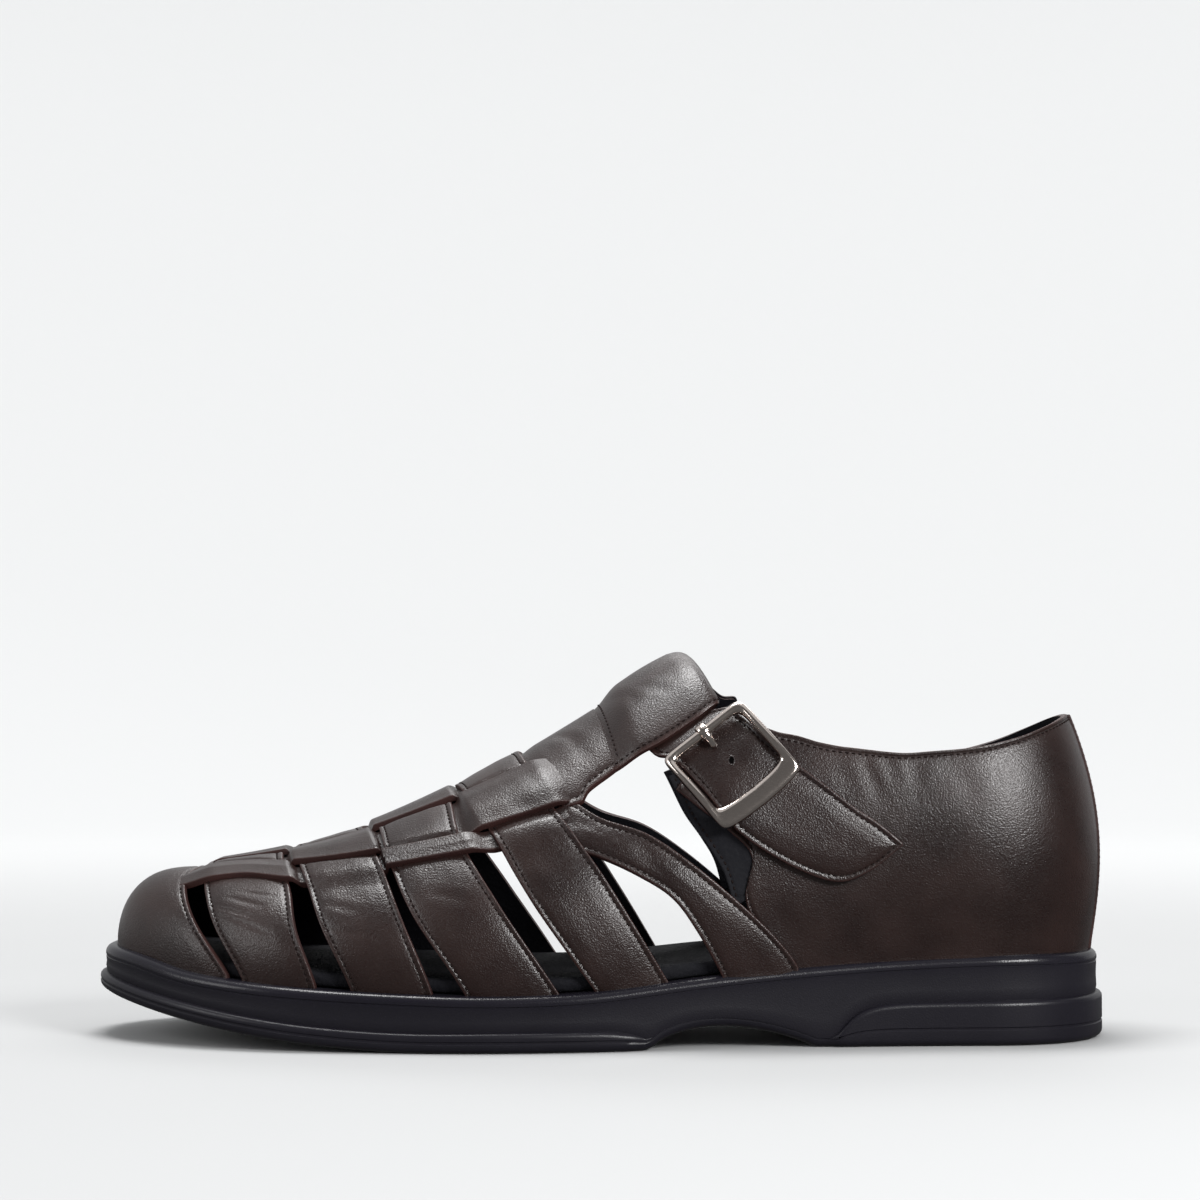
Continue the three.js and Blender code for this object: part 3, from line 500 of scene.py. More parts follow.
def node(tree, kind, inputs=None, **values):
    """A node with its properties set, and its inputs set or linked by name or number."""
    made = tree.nodes.new(kind)
    for key, value in values.items():
        setattr(made, key, value)
    for key, value in (inputs or {}).items():
        if isinstance(value, bpy.types.NodeSocket):
            tree.links.new(value, made.inputs[key])
        else:
            made.inputs[key].default_value = value
    return made


def math_node(tree, operation, a, b=0.0, clamped=False):
    return node(tree, "ShaderNodeMath", {0: a, 1: b}, operation=operation, use_clamp=clamped).outputs[0]


def mix_colour(tree, factor, a, b):
    made = node(tree, "ShaderNodeMix", {0: factor, 6: a, 7: b}, data_type="RGBA")
    return made.outputs[2]


def noise_node(tree, place, scale, detail=2.0, distortion=0.0):
    inputs = {"Vector": place, "Scale": scale, "Detail": detail, "Distortion": distortion}
    return node(tree, "ShaderNodeTexNoise", inputs).outputs[0]


def bump_node(tree, height, strength, distance):
    inputs = {"Height": height, "Strength": strength, "Distance": distance}
    return node(tree, "ShaderNodeBump", inputs)


def range_node(tree, value, low, high):
    return node(tree, "ShaderNodeMapRange", {"Value": value, "To Min": low, "To Max": high}).outputs[0]


def grain_group():
    """Pebbles of leather: a fine cell pattern broken by noise, with slow patches of tone."""
    tree, into, out = group(
        "Hide grain",
        [("Vector", "Vector", None), ("Cells", "Float", 1500.0), ("Patches", "Float", 45.0)],
        [("Height", "Float"), ("Patch", "Float"), ("Swell", "Float"), ("Speck", "Float")],
    )
    place, size = into.outputs["Vector"], into.outputs["Cells"]
    cells = node(
        tree,
        "ShaderNodeTexVoronoi",
        {"Vector": place, "Scale": size, "Randomness": 1.0},
        feature="SMOOTH_F1",
    )
    fine = noise_node(tree, place, size, 3.0)
    pebble = math_node(tree, "MULTIPLY", cells.outputs["Distance"], -1.2)
    results = {
        "Height": math_node(tree, "ADD", pebble, math_node(tree, "MULTIPLY", fine, 0.9)),
        "Speck": fine,
        "Patch": noise_node(tree, place, into.outputs["Patches"], 4.0),
        "Swell": noise_node(tree, place, 150.0, 2.0, 0.4),
    }
    for label, result in results.items():
        tree.links.new(result, out.inputs[label])
    return tree


def rim_group():
    """Burnish along a cut edge: a mask from the rim attribute, broken up by noise."""
    tree, into, out = group(
        "Edge burnish",
        [("Rim", "Float", 0.0), ("Vector", "Vector", None), ("Reach", "Float", 0.6)],
        [("Mask", "Float")],
    )
    broken = math_node(tree, "MULTIPLY", noise_node(tree, into.outputs["Vector"], 400.0), 0.4)
    lifted = math_node(tree, "ADD", into.outputs["Rim"], broken)
    base = math_node(tree, "SUBTRACT", 1.2, into.outputs["Reach"])
    mask = math_node(tree, "SUBTRACT", lifted, base)
    sharp = math_node(tree, "MULTIPLY", mask, 2.2, clamped=True)
    tree.links.new(sharp, out.inputs["Mask"])
    return tree


HIDE_GRAIN = grain_group()
EDGE_BURNISH = rim_group()


def new_material(name):
    """A new material, its node tree and its shader."""
    material = bpy.data.materials.new(name)
    material.use_nodes = True
    tree = material.node_tree
    shader = next(n for n in tree.nodes if n.type == "BSDF_PRINCIPLED")
    return material, tree, shader


def own_place(tree):
    return node(tree, "ShaderNodeTexCoord").outputs["Object"]


def own_attribute(tree, name):
    return node(tree, "ShaderNodeAttribute", attribute_name=name).outputs["Fac"]


def grain_at(tree, place, cells):
    """Outputs of the hide's grain with this many cells to a metre."""
    hide = node(tree, "ShaderNodeGroup", {"Vector": place, "Cells": cells}, node_tree=HIDE_GRAIN)
    return hide.outputs


def hide_material(name, colour, warm, rough, cells, grain, shine=0.4, swell=0.0, burnish=None):
    """Leather: two tones in patches, pebbled grain, soft swells and a burnished rim."""
    material, tree, shader = new_material(name)
    place = own_place(tree)
    hide = grain_at(tree, place, cells)
    patch = math_node(tree, "SUBTRACT", hide["Patch"], PATCH_START)
    patch = math_node(tree, "MULTIPLY", patch, PATCH_CONTRAST, clamped=True)
    tone = mix_colour(tree, patch, colour, warm)
    if burnish:
        inputs = {"Rim": own_attribute(tree, "rim"), "Vector": place}
        edge = node(tree, "ShaderNodeGroup", inputs, node_tree=EDGE_BURNISH)
        tone = mix_colour(tree, edge.outputs["Mask"], tone, burnish)
    tree.links.new(tone, shader.inputs["Base Color"])
    glint = math_node(tree, "SUBTRACT", 0.5, hide["Speck"])
    glint = math_node(tree, "MULTIPLY", glint, SPECK_GLINT)
    dull = math_node(tree, "ADD", range_node(tree, hide["Patch"], rough - SMOOTHER, rough + ROUGHER), glint)
    tree.links.new(dull, shader.inputs["Roughness"])
    shader.inputs["Specular IOR Level"].default_value = shine
    slow = bump_node(tree, hide["Swell"], swell, SWELL_DEPTH)
    fine = bump_node(tree, hide["Height"], grain, GRAIN_DEPTH)
    tree.links.new(slow.outputs[0], fine.inputs["Normal"])
    tree.links.new(fine.outputs[0], shader.inputs["Normal"])
    return material


def rubber_material():
    """Moulded sole: near black with a cold tinge, satin, with a faint moulded texture."""
    material, tree, shader = new_material("moulded_sole")
    hide = grain_at(tree, own_place(tree), 2600.0)
    tone = mix_colour(tree, hide["Patch"], (0.0056, 0.0050, 0.0082, 1), (0.0104, 0.0094, 0.0135, 1))
    tree.links.new(tone, shader.inputs["Base Color"])
    tree.links.new(range_node(tree, own_attribute(tree, "gloss"), 0.42, 0.24), shader.inputs["Roughness"])
    shader.inputs["Specular IOR Level"].default_value = 0.27
    bump = bump_node(tree, hide["Height"], 0.12, 0.0002)
    tree.links.new(bump.outputs[0], shader.inputs["Normal"])
    return material


def metal_material():
    """Polished nickel with faint handling marks."""
    material, tree, shader = new_material("polished_nickel")
    stretched = node(tree, "ShaderNodeMapping", {"Vector": own_place(tree), "Scale": (1.0, 1.0, 6.0)})
    marks = noise_node(tree, stretched.outputs[0], 700.0, 4.0)
    tone = mix_colour(tree, marks, (0.74, 0.65, 0.60, 1), (0.88, 0.79, 0.73, 1))
    tree.links.new(tone, shader.inputs["Base Color"])
    tree.links.new(range_node(tree, marks, 0.07, 0.17), shader.inputs["Roughness"])
    bump = bump_node(tree, marks, 0.05, 0.0001)
    tree.links.new(bump.outputs[0], shader.inputs["Normal"])
    shader.inputs["Metallic"].default_value = 1.0
    return material


def thread_material():
    """Dark waxed thread, dull and a little fuzzy."""
    material, tree, shader = new_material("thread")
    fuzz = noise_node(tree, own_place(tree), 2500.0)
    tone = mix_colour(tree, fuzz, (0.004, 0.002, 0.002, 1), (0.012, 0.006, 0.005, 1))
    tree.links.new(tone, shader.inputs["Base Color"])
    bump = bump_node(tree, fuzz, 0.4, 0.0002)
    tree.links.new(bump.outputs[0], shader.inputs["Normal"])
    shader.inputs["Roughness"].default_value = 0.8
    shader.inputs["Specular IOR Level"].default_value = 0.15
    return material


BROWN_HIDE = hide_material(
    "brown_hide",
    (0.0090, 0.0038, 0.0032, 1),
    (0.0165, 0.0074, 0.0060, 1),
    rough=0.33,
    cells=2300.0,
    grain=0.28,
    shine=0.5,
    swell=0.1,
    burnish=(0.030, 0.013, 0.011, 1),
)
CUT_EDGE = hide_material(
    "cut_edge", (0.020, 0.007, 0.006, 1), (0.036, 0.013, 0.011, 1), 0.55, 2600.0, 0.3, shine=0.3
)
BLACK_LINING = hide_material(
    "black_lining", (0.004, 0.004, 0.006, 1), (0.009, 0.009, 0.011, 1), 0.75, 900.0, 0.5, shine=0.12
)
# Near black: painted shade for the inside of the strap's hole
PAINTED_HOLE_SHADE = hide_material("painted_hole_shade", (0.001, 0.001, 0.001, 1), (0.002, 0.001, 0.001, 1), 0.9, 900.0, 0.1, shine=0.02)
FOOTBED_HIDE = hide_material(
    "footbed_hide", (0.005, 0.005, 0.007, 1), (0.011, 0.011, 0.013, 1), 0.8, 800.0, 0.6, shine=0.1
)
SOLE_RUBBER = rubber_material()
NICKEL = metal_material()
THREAD = thread_material()

# Meshes

TOP, EDGE, INSIDE = 0, 1, 2
EDGE_LOOK = 0.78  # rim value from which a face takes the cut edge's look
UPPER_LOOK = (BROWN_HIDE, CUT_EDGE, BLACK_LINING)


def build_mesh(name, points, faces, looks, materials, attributes=None, crisp=40.0, weld=0.0):
    """A mesh object at the origin from points in shoe millimetres; looks says each face's material."""
    mesh = bpy.data.meshes.new(name)
    mesh.from_pydata(to_frame(points).tolist(), [], faces)
    for material in materials:
        mesh.materials.append(material)
    mesh.polygons.foreach_set("material_index", looks)
    for label, values in (attributes or {}).items():
        layer = mesh.attributes.new(label, "FLOAT", "POINT")
        layer.data.foreach_set("value", np.asarray(values, float))
    work = bmesh.new()
    work.from_mesh(mesh)
    if weld:
        bmesh.ops.remove_doubles(work, verts=work.verts, dist=weld / 1000)
    bmesh.ops.recalc_face_normals(work, faces=work.faces)
    work.to_mesh(mesh)
    work.free()
    mesh.shade_smooth()
    mesh.set_sharp_from_angle(angle=math.radians(crisp))
    made = bpy.data.objects.new(name, mesh)
    bpy.context.scene.collection.objects.link(made)
    return made


def plain_mesh(name, points, faces, material, crisp, attributes=None):
    """A mesh object of one material."""
    return build_mesh(name, points, faces, np.zeros(len(faces), int), (material,), attributes, crisp)


def keep(piece, node_name):
    """The piece rides with the shoe and stands for one of its solids."""
    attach(piece, "root")
    if node_name:
        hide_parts(node_name)


# Distances of a sheet's rows of points from a free edge, in millimetres
EDGE_STEPS = np.array([0.0, 0.07, 0.2, 0.36, 0.55, 0.95, 1.3, 1.6, 1.9, 2.4, 3.6])


def spread(lengths, count, free_start, free_end):
    """Shares along stretches of these lengths: close together at free ends, even between them."""
    lengths = np.asarray(lengths, float)[..., None]
    fit = np.minimum(1.0, lengths / (2.6 * EDGE_STEPS[-1]))
    near = EDGE_STEPS * fit / lengths
    start = near if free_start else np.zeros_like(lengths)
    end = 1 - near[..., ::-1] if free_end else np.ones_like(lengths)
    between = np.linspace(0, 1, count + 2)[1:-1]
    middle = lerp(start[..., -1:], end[..., :1], between)
    return np.concatenate([start, middle, end], axis=-1)


SEAMS = []  # rows of stitches: points and outward directions
SEAM_TROUGH = 0.45  # half width of the trough that a seam pulls in
SWELL_START, SWELL_RUN = 1.2, 6.0
FAR = 50.0  # stands for a sheet without a free edge nearby


class Leather:
    """A leather sheet over the last, with rounded edges, a swell between them and a pulled-in seam.

    Spot gives a place on the last for u along and v across the sheet, and lift its inner face's height.
    Ends and sides say which edges are free.
    """

    def __init__(
        self, spot, lift, thick, ends=(False, False), sides=(True, True), swell=CROWN, sewn=True
    ):
        self.spot, self.lift, self.thick = spot, lift, thick
        self.ends, self.sides, self.swell = ends, sides, swell
        self.seam_depth = SEAM_DEPTH if sewn else 0.0
        self.fine_u = np.linspace(0, 1, 400)
        self.fine_v = np.linspace(0, 1, 17)
        grid = over_last(*spot(self.fine_u[:, None], self.fine_v[None, :]), 0.0)
        steps = np.linalg.norm(np.diff(grid, axis=0), axis=2)
        self.arcs = np.concatenate([np.zeros((1, 17)), np.cumsum(steps, axis=0)])
        self.arc = self.arcs[:, 8]
        self.fine_width = np.linalg.norm(np.diff(grid, axis=1), axis=2).sum(axis=1)

    def width(self, u):
        return np.interp(u, self.fine_u, self.fine_width)

    def ends_away(self, u, v):
        """Distances to the first and the last end, measured along the sheet."""
        u, v = np.broadcast_arrays(u, v)
        row = clamp(u, 0, 1) * (len(self.fine_u) - 1)
        column = clamp(v, 0, 1) * (len(self.fine_v) - 1)
        i = np.minimum(row.astype(int), len(self.fine_u) - 2)
        j = np.minimum(column.astype(int), len(self.fine_v) - 2)
        low = lerp(self.arcs[i, j], self.arcs[i + 1, j], row - i)
        high = lerp(self.arcs[i, j + 1], self.arcs[i + 1, j + 1], row - i)
        whole = lerp(self.arcs[-1, j], self.arcs[-1, j + 1], column - j)
        arc = lerp(low, high, column - j)
        return arc, whole - arc

    def away(self, u, v):
        """Distance to the nearest free edge, in millimetres."""
        width = self.width(u)
        far = np.full(np.broadcast(u, v).shape, FAR)
        if self.sides[0]:
            far = np.minimum(far, v * width)
        if self.sides[1]:
            far = np.minimum(far, (1 - v) * width)
        for free, distance in zip(self.ends, self.ends_away(u, v)):
            if free:
                far = np.minimum(far, distance)
        return far

    def top(self, u, v):
        """Height of the outer face over the last."""
        share, across = self.spot(u, v)
        away = self.away(u, v)
        round_off = EDGE_DROP * (1 - np.sqrt(1 - (1 - clamp(away / EDGE_ROUND)) ** 2))
        seam = self.seam_depth * np.exp(-(((away - SEAM_IN) / SEAM_TROUGH) ** 2))
        swell = self.swell * ease((away - SWELL_START) / SWELL_RUN)
        return self.lift(u, v) + self.thick - round_off - seam + swell - crease(share, across)

    def build(self, name, count_u, count_v, materials=UPPER_LOOK, weld=0.0, folded=False):
        along = spread(self.arc[-1], count_u, *self.ends)
        u = np.interp(along * self.arc[-1], self.arc, self.fine_u)
        v = spread(self.width(u), count_v, *self.sides)
        u = np.repeat(u[:, None], v.shape[1], axis=1)
        share, across = self.spot(u, v)
        outer = over_last(share, across, self.top(u, v))
        inner = over_last(share, across, self.lift(u, v))
        rows, columns = u.shape
        points = np.concatenate([outer.reshape(-1, 3), inner.reshape(-1, 3)])
        rim = np.exp(-self.away(u, v) / 0.7).reshape(-1)
        faces, looks = sheet_faces(rows, columns, rim, folded)
        return build_mesh(name, points, faces, looks, materials, {"rim": np.tile(rim, 2)}, weld=weld)

    def seam(self, edge, start=0.0, end=1.0, inset=SEAM_IN):
        """Adds a row of stitches along one of the sheet's edges: low, high, first or last."""
        count = 240
        if edge in ("low", "high"):
            u = np.linspace(start, end, count)
            shift = np.minimum(inset / self.width(u), 0.5)
            v = shift if edge == "low" else 1 - shift
        else:
            v = np.linspace(start, end, count)
            tries = self.fine_u[:, None]
            away = self.ends_away(tries, v[None, :])[0 if edge == "first" else 1]
            u = self.fine_u[np.abs(away - inset).argmin(axis=0)]
            u = np.convolve(np.pad(u, 8, mode="edge"), np.ones(17) / 17, mode="valid")
        share, across = self.spot(u, v)
        points = over_last(share, across, self.top(u, v) + 0.06)
        SEAMS.append((points, last_normal(share, across)))


def sheet_faces(rows, columns, rim, folded=False):
    """Faces of a closed sheet of outer and inner points, with the look of each.

    A folded sheet meets itself along its last column and has no wall there.
    """
    index = np.arange(rows * columns).reshape(rows, columns)
    shift = rows * columns
    a, b = index[:-1, :-1].ravel(), index[1:, :-1].ravel()
    c, d = index[1:, 1:].ravel(), index[:-1, 1:].ravel()
    outer = np.stack([a, b, c, d], axis=1)
    inner = np.stack([d, c, b, a], axis=1) + shift
    border = np.concatenate([index[0, :-1], index[:-1, -1], index[-1, :0:-1], index[:0:-1, 0]])
    after = np.roll(border, -1)
    walls = np.stack([border, after, after + shift, border + shift], axis=1)
    if folded:
        walls = np.delete(walls, np.arange(columns - 1, columns + rows - 2), axis=0)
    faces = np.concatenate([outer, inner, walls])
    outer_look = np.where(rim[outer].mean(axis=1) > EDGE_LOOK, EDGE, TOP)
    looks = np.concatenate([outer_look, np.full(len(inner), INSIDE), np.full(len(walls), EDGE)])
    return faces.tolist(), looks


SEAT_EDGE = 1 + SKIRT / INSTEP_HEIGHT


def to_seat(across):
    """The leather goes a little below the seat where it meets the sole."""
    return np.where(np.abs(across) >= 1, np.sign(across) * SEAT_EDGE, across)


# The woven front


# Where a drape begins before a strip, and its slopes, as shares of the half girth
OUTER_REACH, LINE_REACH = 0.085, 0.012
DRAPE_RISE, DRAPE_GAP, DRAPE_FALL = 0.03, 0.004, 0.045


def is_over(strap, strip):
    return (strap + strip) % 2 == 0


def girth_lines(share):
    return [read(STRIP_LINES, name, share) for name in ("outer", "side", "middle")]


def cross_lift(number):
    """Height of a cross strap, which drapes up over a strip where it crosses on top."""

    def lift(share, across):
        girth = np.abs(across)
        lines = girth_lines(share) + [-0.1 + 0 * girth]
        height = np.zeros_like(girth)
        for k in range(3):
            if is_over(number, k):
                continue
            outside = OUTER_REACH if k == 0 else LINE_REACH
            rise = ease((lines[k] + outside - girth) / (outside + DRAPE_RISE))
            fall = ease((girth - lines[k + 1] - DRAPE_GAP) / DRAPE_FALL)
            height = height + DRAPE * rise * fall
        return height

    return lift


def cross_strap(number):
    rows = CROSS_STRAPS[number]
    height = cross_lift(number)

    def spot(u, v):
        across = lerp(-1.0, 1.0, u)
        girth = np.abs(across)
        share = lerp(read(rows, "front", girth), read(rows, "back", girth), v)
        return share, np.where(girth > 0.9999, np.sign(across) * SEAT_EDGE, across)

    sheet = Leather(spot, lambda u, v: height(*spot(u, v)), WALL)
    piece = sheet.build(f"cross_strap_{number + 1}", 340, 22)
    for edge in ("low", "high"):
        sheet.seam(edge)
    return piece


# Outer line, inner line and side of each lengthwise strip
STRIPS = [
    ("outer", "side", -1),
    ("side", "middle", -1),
    ("middle", "middle", 0),
    ("side", "middle", 1),
    ("outer", "side", 1),
]


STRIP_SINK = -0.5  # the strip's front end lies under the toe cap
SLOPE = 0.003  # half the share of the length over which a strip climbs or dives
FIRST_RISE, LAST_FALL = 0.018, 0.028


def length_strip(number):
    low_name, high_name, side = STRIPS[number]

    def spot(u, v):
        share = lerp(STRIP_START, STRIP_END, u)
        low = read(STRIP_LINES, low_name, share) - STRIP_GAP
        high = read(STRIP_LINES, high_name, share) + STRIP_GAP
        across = lerp(-low, low, v) if side == 0 else side * lerp(low, high, v)
        return share, across

    def lift(u, v):
        share, across = spot(u, v)
        girth = np.abs(across)
        places, heights = [STRIP_START + 0 * girth], [STRIP_SINK + 0 * girth]
        for k, rows in enumerate(CROSS_STRAPS):
            level = WEAVE_LIFT if is_over(k, number) else TUCK
            for column, ease_out in (("front", -SLOPE), ("back", SLOPE)):
                places.append(read(rows, column, girth) + ease_out)
                heights.append(level + 0 * girth)
        places[1] = places[1] + FIRST_RISE
        places.append(np.minimum(places[-1] + LAST_FALL, STRIP_END))
        heights.append(MERGE + 0 * girth)
        height = heights[0]
        for k in range(1, len(places)):
            step = ease((share - places[k - 1]) / np.maximum(places[k] - places[k - 1], 1e-6))
            height = height + (heights[k] - heights[k - 1]) * step
        return height

    sheet = Leather(spot, lift, WALL, swell=0.5, sewn=False)
    return sheet.build(f"length_strip_{number + 1}", 220, 8)


def toe_cap():
    """The closed toe, built from both sides of its middle line and welded where they fold."""

    def spot(u, v):
        along = lerp(-1.0, 1.0, u)
        across = 1 - v
        share = read(CAP_EDGE, "share", across) * along * along
        side = np.where(along < 0, -1.0, 1.0)
        return share, side * to_seat(across)

    sheet = Leather(spot, lambda u, v: 0.0 * u, WALL, ends=(True, True), sides=(False, False))
    piece = sheet.build("toe_cap", 120, 90, weld=0.03, folded=True)
    sheet.seam("first", 0.0, 0.55)
    sheet.seam("last", 0.0, 0.55)
    return piece


# The T-strap


LOOP_BEND = 0.86  # share of the loop's length where the leather begins to fold back
LOOP_UNDER = 0.92  # width of the folded part against the upper one


def on_tee(rows, u, v):
    side = 2 * v - 1
    share = lerp(read(rows, "ridge", u), read(rows, "edge", u), np.abs(side) ** 1.5)
    return share, side * read(rows, "across", u)


def tee_panel():
    def spot(u, v):
        side = np.abs(2 * v - 1)
        share, across = on_tee(PANEL, u, v)
        tuck = PANEL_TUCK * (1 - ease(u / 0.5)) * (1 - side**2)
        return share - tuck, across

    def lift(u, v):
        return TUCK * 2 * (1 - ease((u - 0.02) / 0.28))

    sheet = Leather(spot, lift, WALL)
    piece = sheet.build("tee_panel", 56, 90)
    sheet.seam("low", 0.45, 1.0)
    sheet.seam("high", 0.45, 1.0)
    return piece


def loop_profile():
    """Section of the loop: place along it, height of the leather's middle and share of the width."""
    top = STRAP_THICK + CLEARANCE + LOOP_LAYER / 2
    under = -CLEARANCE - LOOP_LAYER / 2
    fold_height = (top - under) / 2
    fold_middle = (top + under) / 2
    steps = []
    for share in np.linspace(0, 1, 30):
        rise = ease(share / 0.4)
        steps.append((share * LOOP_BEND, lerp(WALL / 2, top, rise), 1.0))
    for share in np.linspace(0, 1, 14)[1:]:
        angle = math.pi * share
        place = LOOP_BEND + (1 - LOOP_BEND) * math.sin(angle)
        steps.append((place, fold_middle + fold_height * math.cos(angle), lerp(1.0, LOOP_UNDER, share)))
    for share in np.linspace(0, 1, 16)[1:]:
        steps.append((lerp(LOOP_BEND, 0.05, share), under, LOOP_UNDER))
    return np.array(steps)


def tee_loop():
    """The T-strap's end, folded round the ankle strap and sewn down at its front."""
    profile = loop_profile()
    half = LOOP_LAYER / 2
    columns = 64
    v = np.linspace(0, 1, columns)
    middle = []
    for along, lift, share in profile:
        place, across = on_tee(LOOP, np.full(columns, along), v)
        swell = 0.0 if share < 1 else CROWN * math.sin(math.pi * clamp(along))
        middle.append(over_last(place, across * share, lift + swell - crease(place, across)))
    middle = np.array(middle)
    along_way = np.gradient(middle, axis=0)
    across_way = np.gradient(middle, axis=1)
    normal = unit(np.cross(along_way, across_way))
    if normal[0, columns // 2, 2] < 0:
        normal = -normal
    width = np.linalg.norm(np.diff(middle[5], axis=0), axis=1).sum()
    away = np.minimum(v, 1 - v) * width
    round_off = 0.5 * (1 - clamp(away / EDGE_ROUND)) ** 2.2
    seam = 0.5 * SEAM_DEPTH * np.exp(-(((away - SEAM_IN) / SEAM_TROUGH) ** 2))
    reach = (half - round_off - seam)[None, :, None]
    outer = middle + normal * reach
    inner = middle - normal * half
    points = np.concatenate([outer.reshape(-1, 3), inner.reshape(-1, 3)])
    rim = np.tile(np.exp(-away / 0.9), len(profile))
    faces, looks = sheet_faces(len(profile), columns, rim)
    piece = build_mesh(
        "tee_loop", points, faces, looks, UPPER_LOOK, {"rim": np.tile(rim, 2)}, crisp=50.0
    )
    front_row = 3
    SEAMS.append((outer[front_row, 3:-3], normal[front_row, 3:-3]))
    column = np.argmin(np.abs(away[: columns // 2] - SEAM_IN))
    for side in (column, columns - 1 - column):
        SEAMS.append((outer[2:38, side], normal[2:38, side]))
    return piece


def branch(name, side):
    """A side branch of the T-strap, from under the panel down to the sole."""

    def spot(u, v):
        share = lerp(read(BRANCH, "low_at", u), read(BRANCH, "high_at", u), v)
        across = lerp(read(BRANCH, "low", u), read(BRANCH, "high", u), v)
        return share, side * to_seat(clamp(across))

    sheet = Leather(spot, lambda u, v: read(BRANCH, "lift", u) * WALL, WALL, ends=(True, False))
    piece = sheet.build(name, 130, 14)
    for edge in ("low", "high"):
        sheet.seam(edge, 0.08, 1.0)
    return piece


# The closed back


def quarter_spot(u, v):
    """u runs from the outer front end round the heel to the inner one, v from seat to collar."""
    last_row = QUARTER["at"][-1]
    row = (1 - np.abs(2 * u - 1)) * last_row
    inner = u > 0.5
    low_at, high_at = read(QUARTER, "low_at", row), read(QUARTER, "high_at", row)
    low, high = read(QUARTER, "low", row), read(QUARTER, "high", row)
    drop = np.where(inner, COLLAR_DROP * (1 - clamp(low_at) ** 12), 0.0)
    tuck = np.where(inner, INNER_TUCK * (1 - ease(row / QUARTER["at"][2])), 0.0)
    share = clamp(lerp(low_at + tuck, high_at, v), 0.0, 1.0)
    across = lerp(clamp(low), high + drop, v)
    return share, np.where(inner, 1.0, -1.0) * to_seat(across)


class Quarter(Leather):
    """The quarter's lower edge is free only in front, where it doesn't reach the sole yet."""

    def away(self, u, v):
        free = super().away(u, v)
        at_seat = ease((clamp(1 - np.abs(2 * u - 1)) * QUARTER["at"][-1] - AT_SEAT) / 0.8)
        collar = np.minimum((1 - v) * self.width(u), FAR)
        return lerp(free, np.maximum(free, collar), at_seat)


def quarter():
    sheet = Quarter(quarter_spot, lambda u, v: 0.0 * u, WALL, ends=(True, True), swell=0.15)
    piece = sheet.build("quarter", 400, 56, weld=0.02)
    sheet.seam("high", 0.0, 1.0, inset=2.2)
    front = AT_SEAT / (2 * QUARTER["at"][-1])
    sheet.seam("low", 0.02, front)
    sheet.seam("low", 1 - front, 0.98)
    return piece


def facing(name, side):
    """The lining's visible strip in front of the quarter."""
    thick, sink = 1.3, 0.1

    def spot(u, v):
        share = lerp(read(FACING, "low_at", u), read(FACING, "high_at", u), v)
        across = lerp(read(FACING, "low", u), read(FACING, "high", u), v)
        return share, side * across

    sheet = Leather(
        spot, lambda u, v: -sink + 0.0 * u, thick, ends=(True, True), sides=(True, False), swell=0.0
    )
    piece = sheet.build(name, 60, 20, materials=(BLACK_LINING,) * 3)
    sheet.seam("low", 0.05, 0.95, inset=1.5)
    return piece


def heel_stay():
    """The narrow strip over the seam at the back."""
    thick, sink = 1.1, 0.3
    stay_at, stay_top = 0.998, 0.578

    def spot(u, v):
        side = 2 * u - 1
        share = lerp(stay_at, 1.0, 1 - np.abs(side))
        return share, np.where(side < 0, -1.0, 1.0) * to_seat(lerp(1.0, stay_top, v))

    sheet = Leather(
        spot, lambda u, v: WALL - sink + 0.0 * u, thick, ends=(True, True), sides=(False, True), swell=0.1
    )
    piece = sheet.build("heel_stay", 40, 60, weld=0.02)
    sheet.seam("first", 0.0, 0.93)
    sheet.seam("last", 0.0, 0.93)
    return piece


# The ankle strap and its buckle


FRAME_ROW, HOLE_ROW = 4.35, 4.75  # rows of the strap under the frame's middle and at its hole
PLY_ENDS = (0.006, 0.997)  # the inner ply stays a little inside the outer one
PLY_SIDES = (0.02, 0.98)


def ankle_strap():
    """The strap's outer and inner ply and its hole."""
    rows = ANKLE_STRAP["at"][-1]
    rise_in_frame = 0.9

    def spot(u, v):
        row = u * rows
        share = lerp(read(ANKLE_STRAP, "low_at", row), read(ANKLE_STRAP, "high_at", row), v)
        across = lerp(read(ANKLE_STRAP, "low", row), read(ANKLE_STRAP, "high", row), v)
        return share, across

    def lift(u, v):
        row = u * rows
        in_frame = np.exp(-(((row - FRAME_ROW) / 0.75) ** 2))
        return read(ANKLE_STRAP, "lift", row) * (WALL + CLEARANCE) + rise_in_frame * in_frame

    def inner_spot(u, v):
        return spot(lerp(*PLY_ENDS, u), lerp(*PLY_SIDES, v))

    def outer_lift(u, v):
        return lift(u, v) + PLY + PLY_GAP

    def inner_lift(u, v):
        return lift(lerp(*PLY_ENDS, u), v)

    sheet = Leather(spot, outer_lift, STRAP_THICK - PLY - PLY_GAP, ends=(True, True))
    outer = sheet.build("strap_outer_ply", 360, 26)
    backing = Leather(inner_spot, inner_lift, PLY, ends=(True, True), swell=0.0, sewn=False)
    inner = backing.build("strap_inner_ply", 300, 8)
    tip = 0.3 / rows
    sheet.seam("low", tip, 1.0)
    sheet.seam("high", tip, 1.0)
    return [outer, inner, strap_hole(sheet, HOLE_ROW / rows, 0.5)]


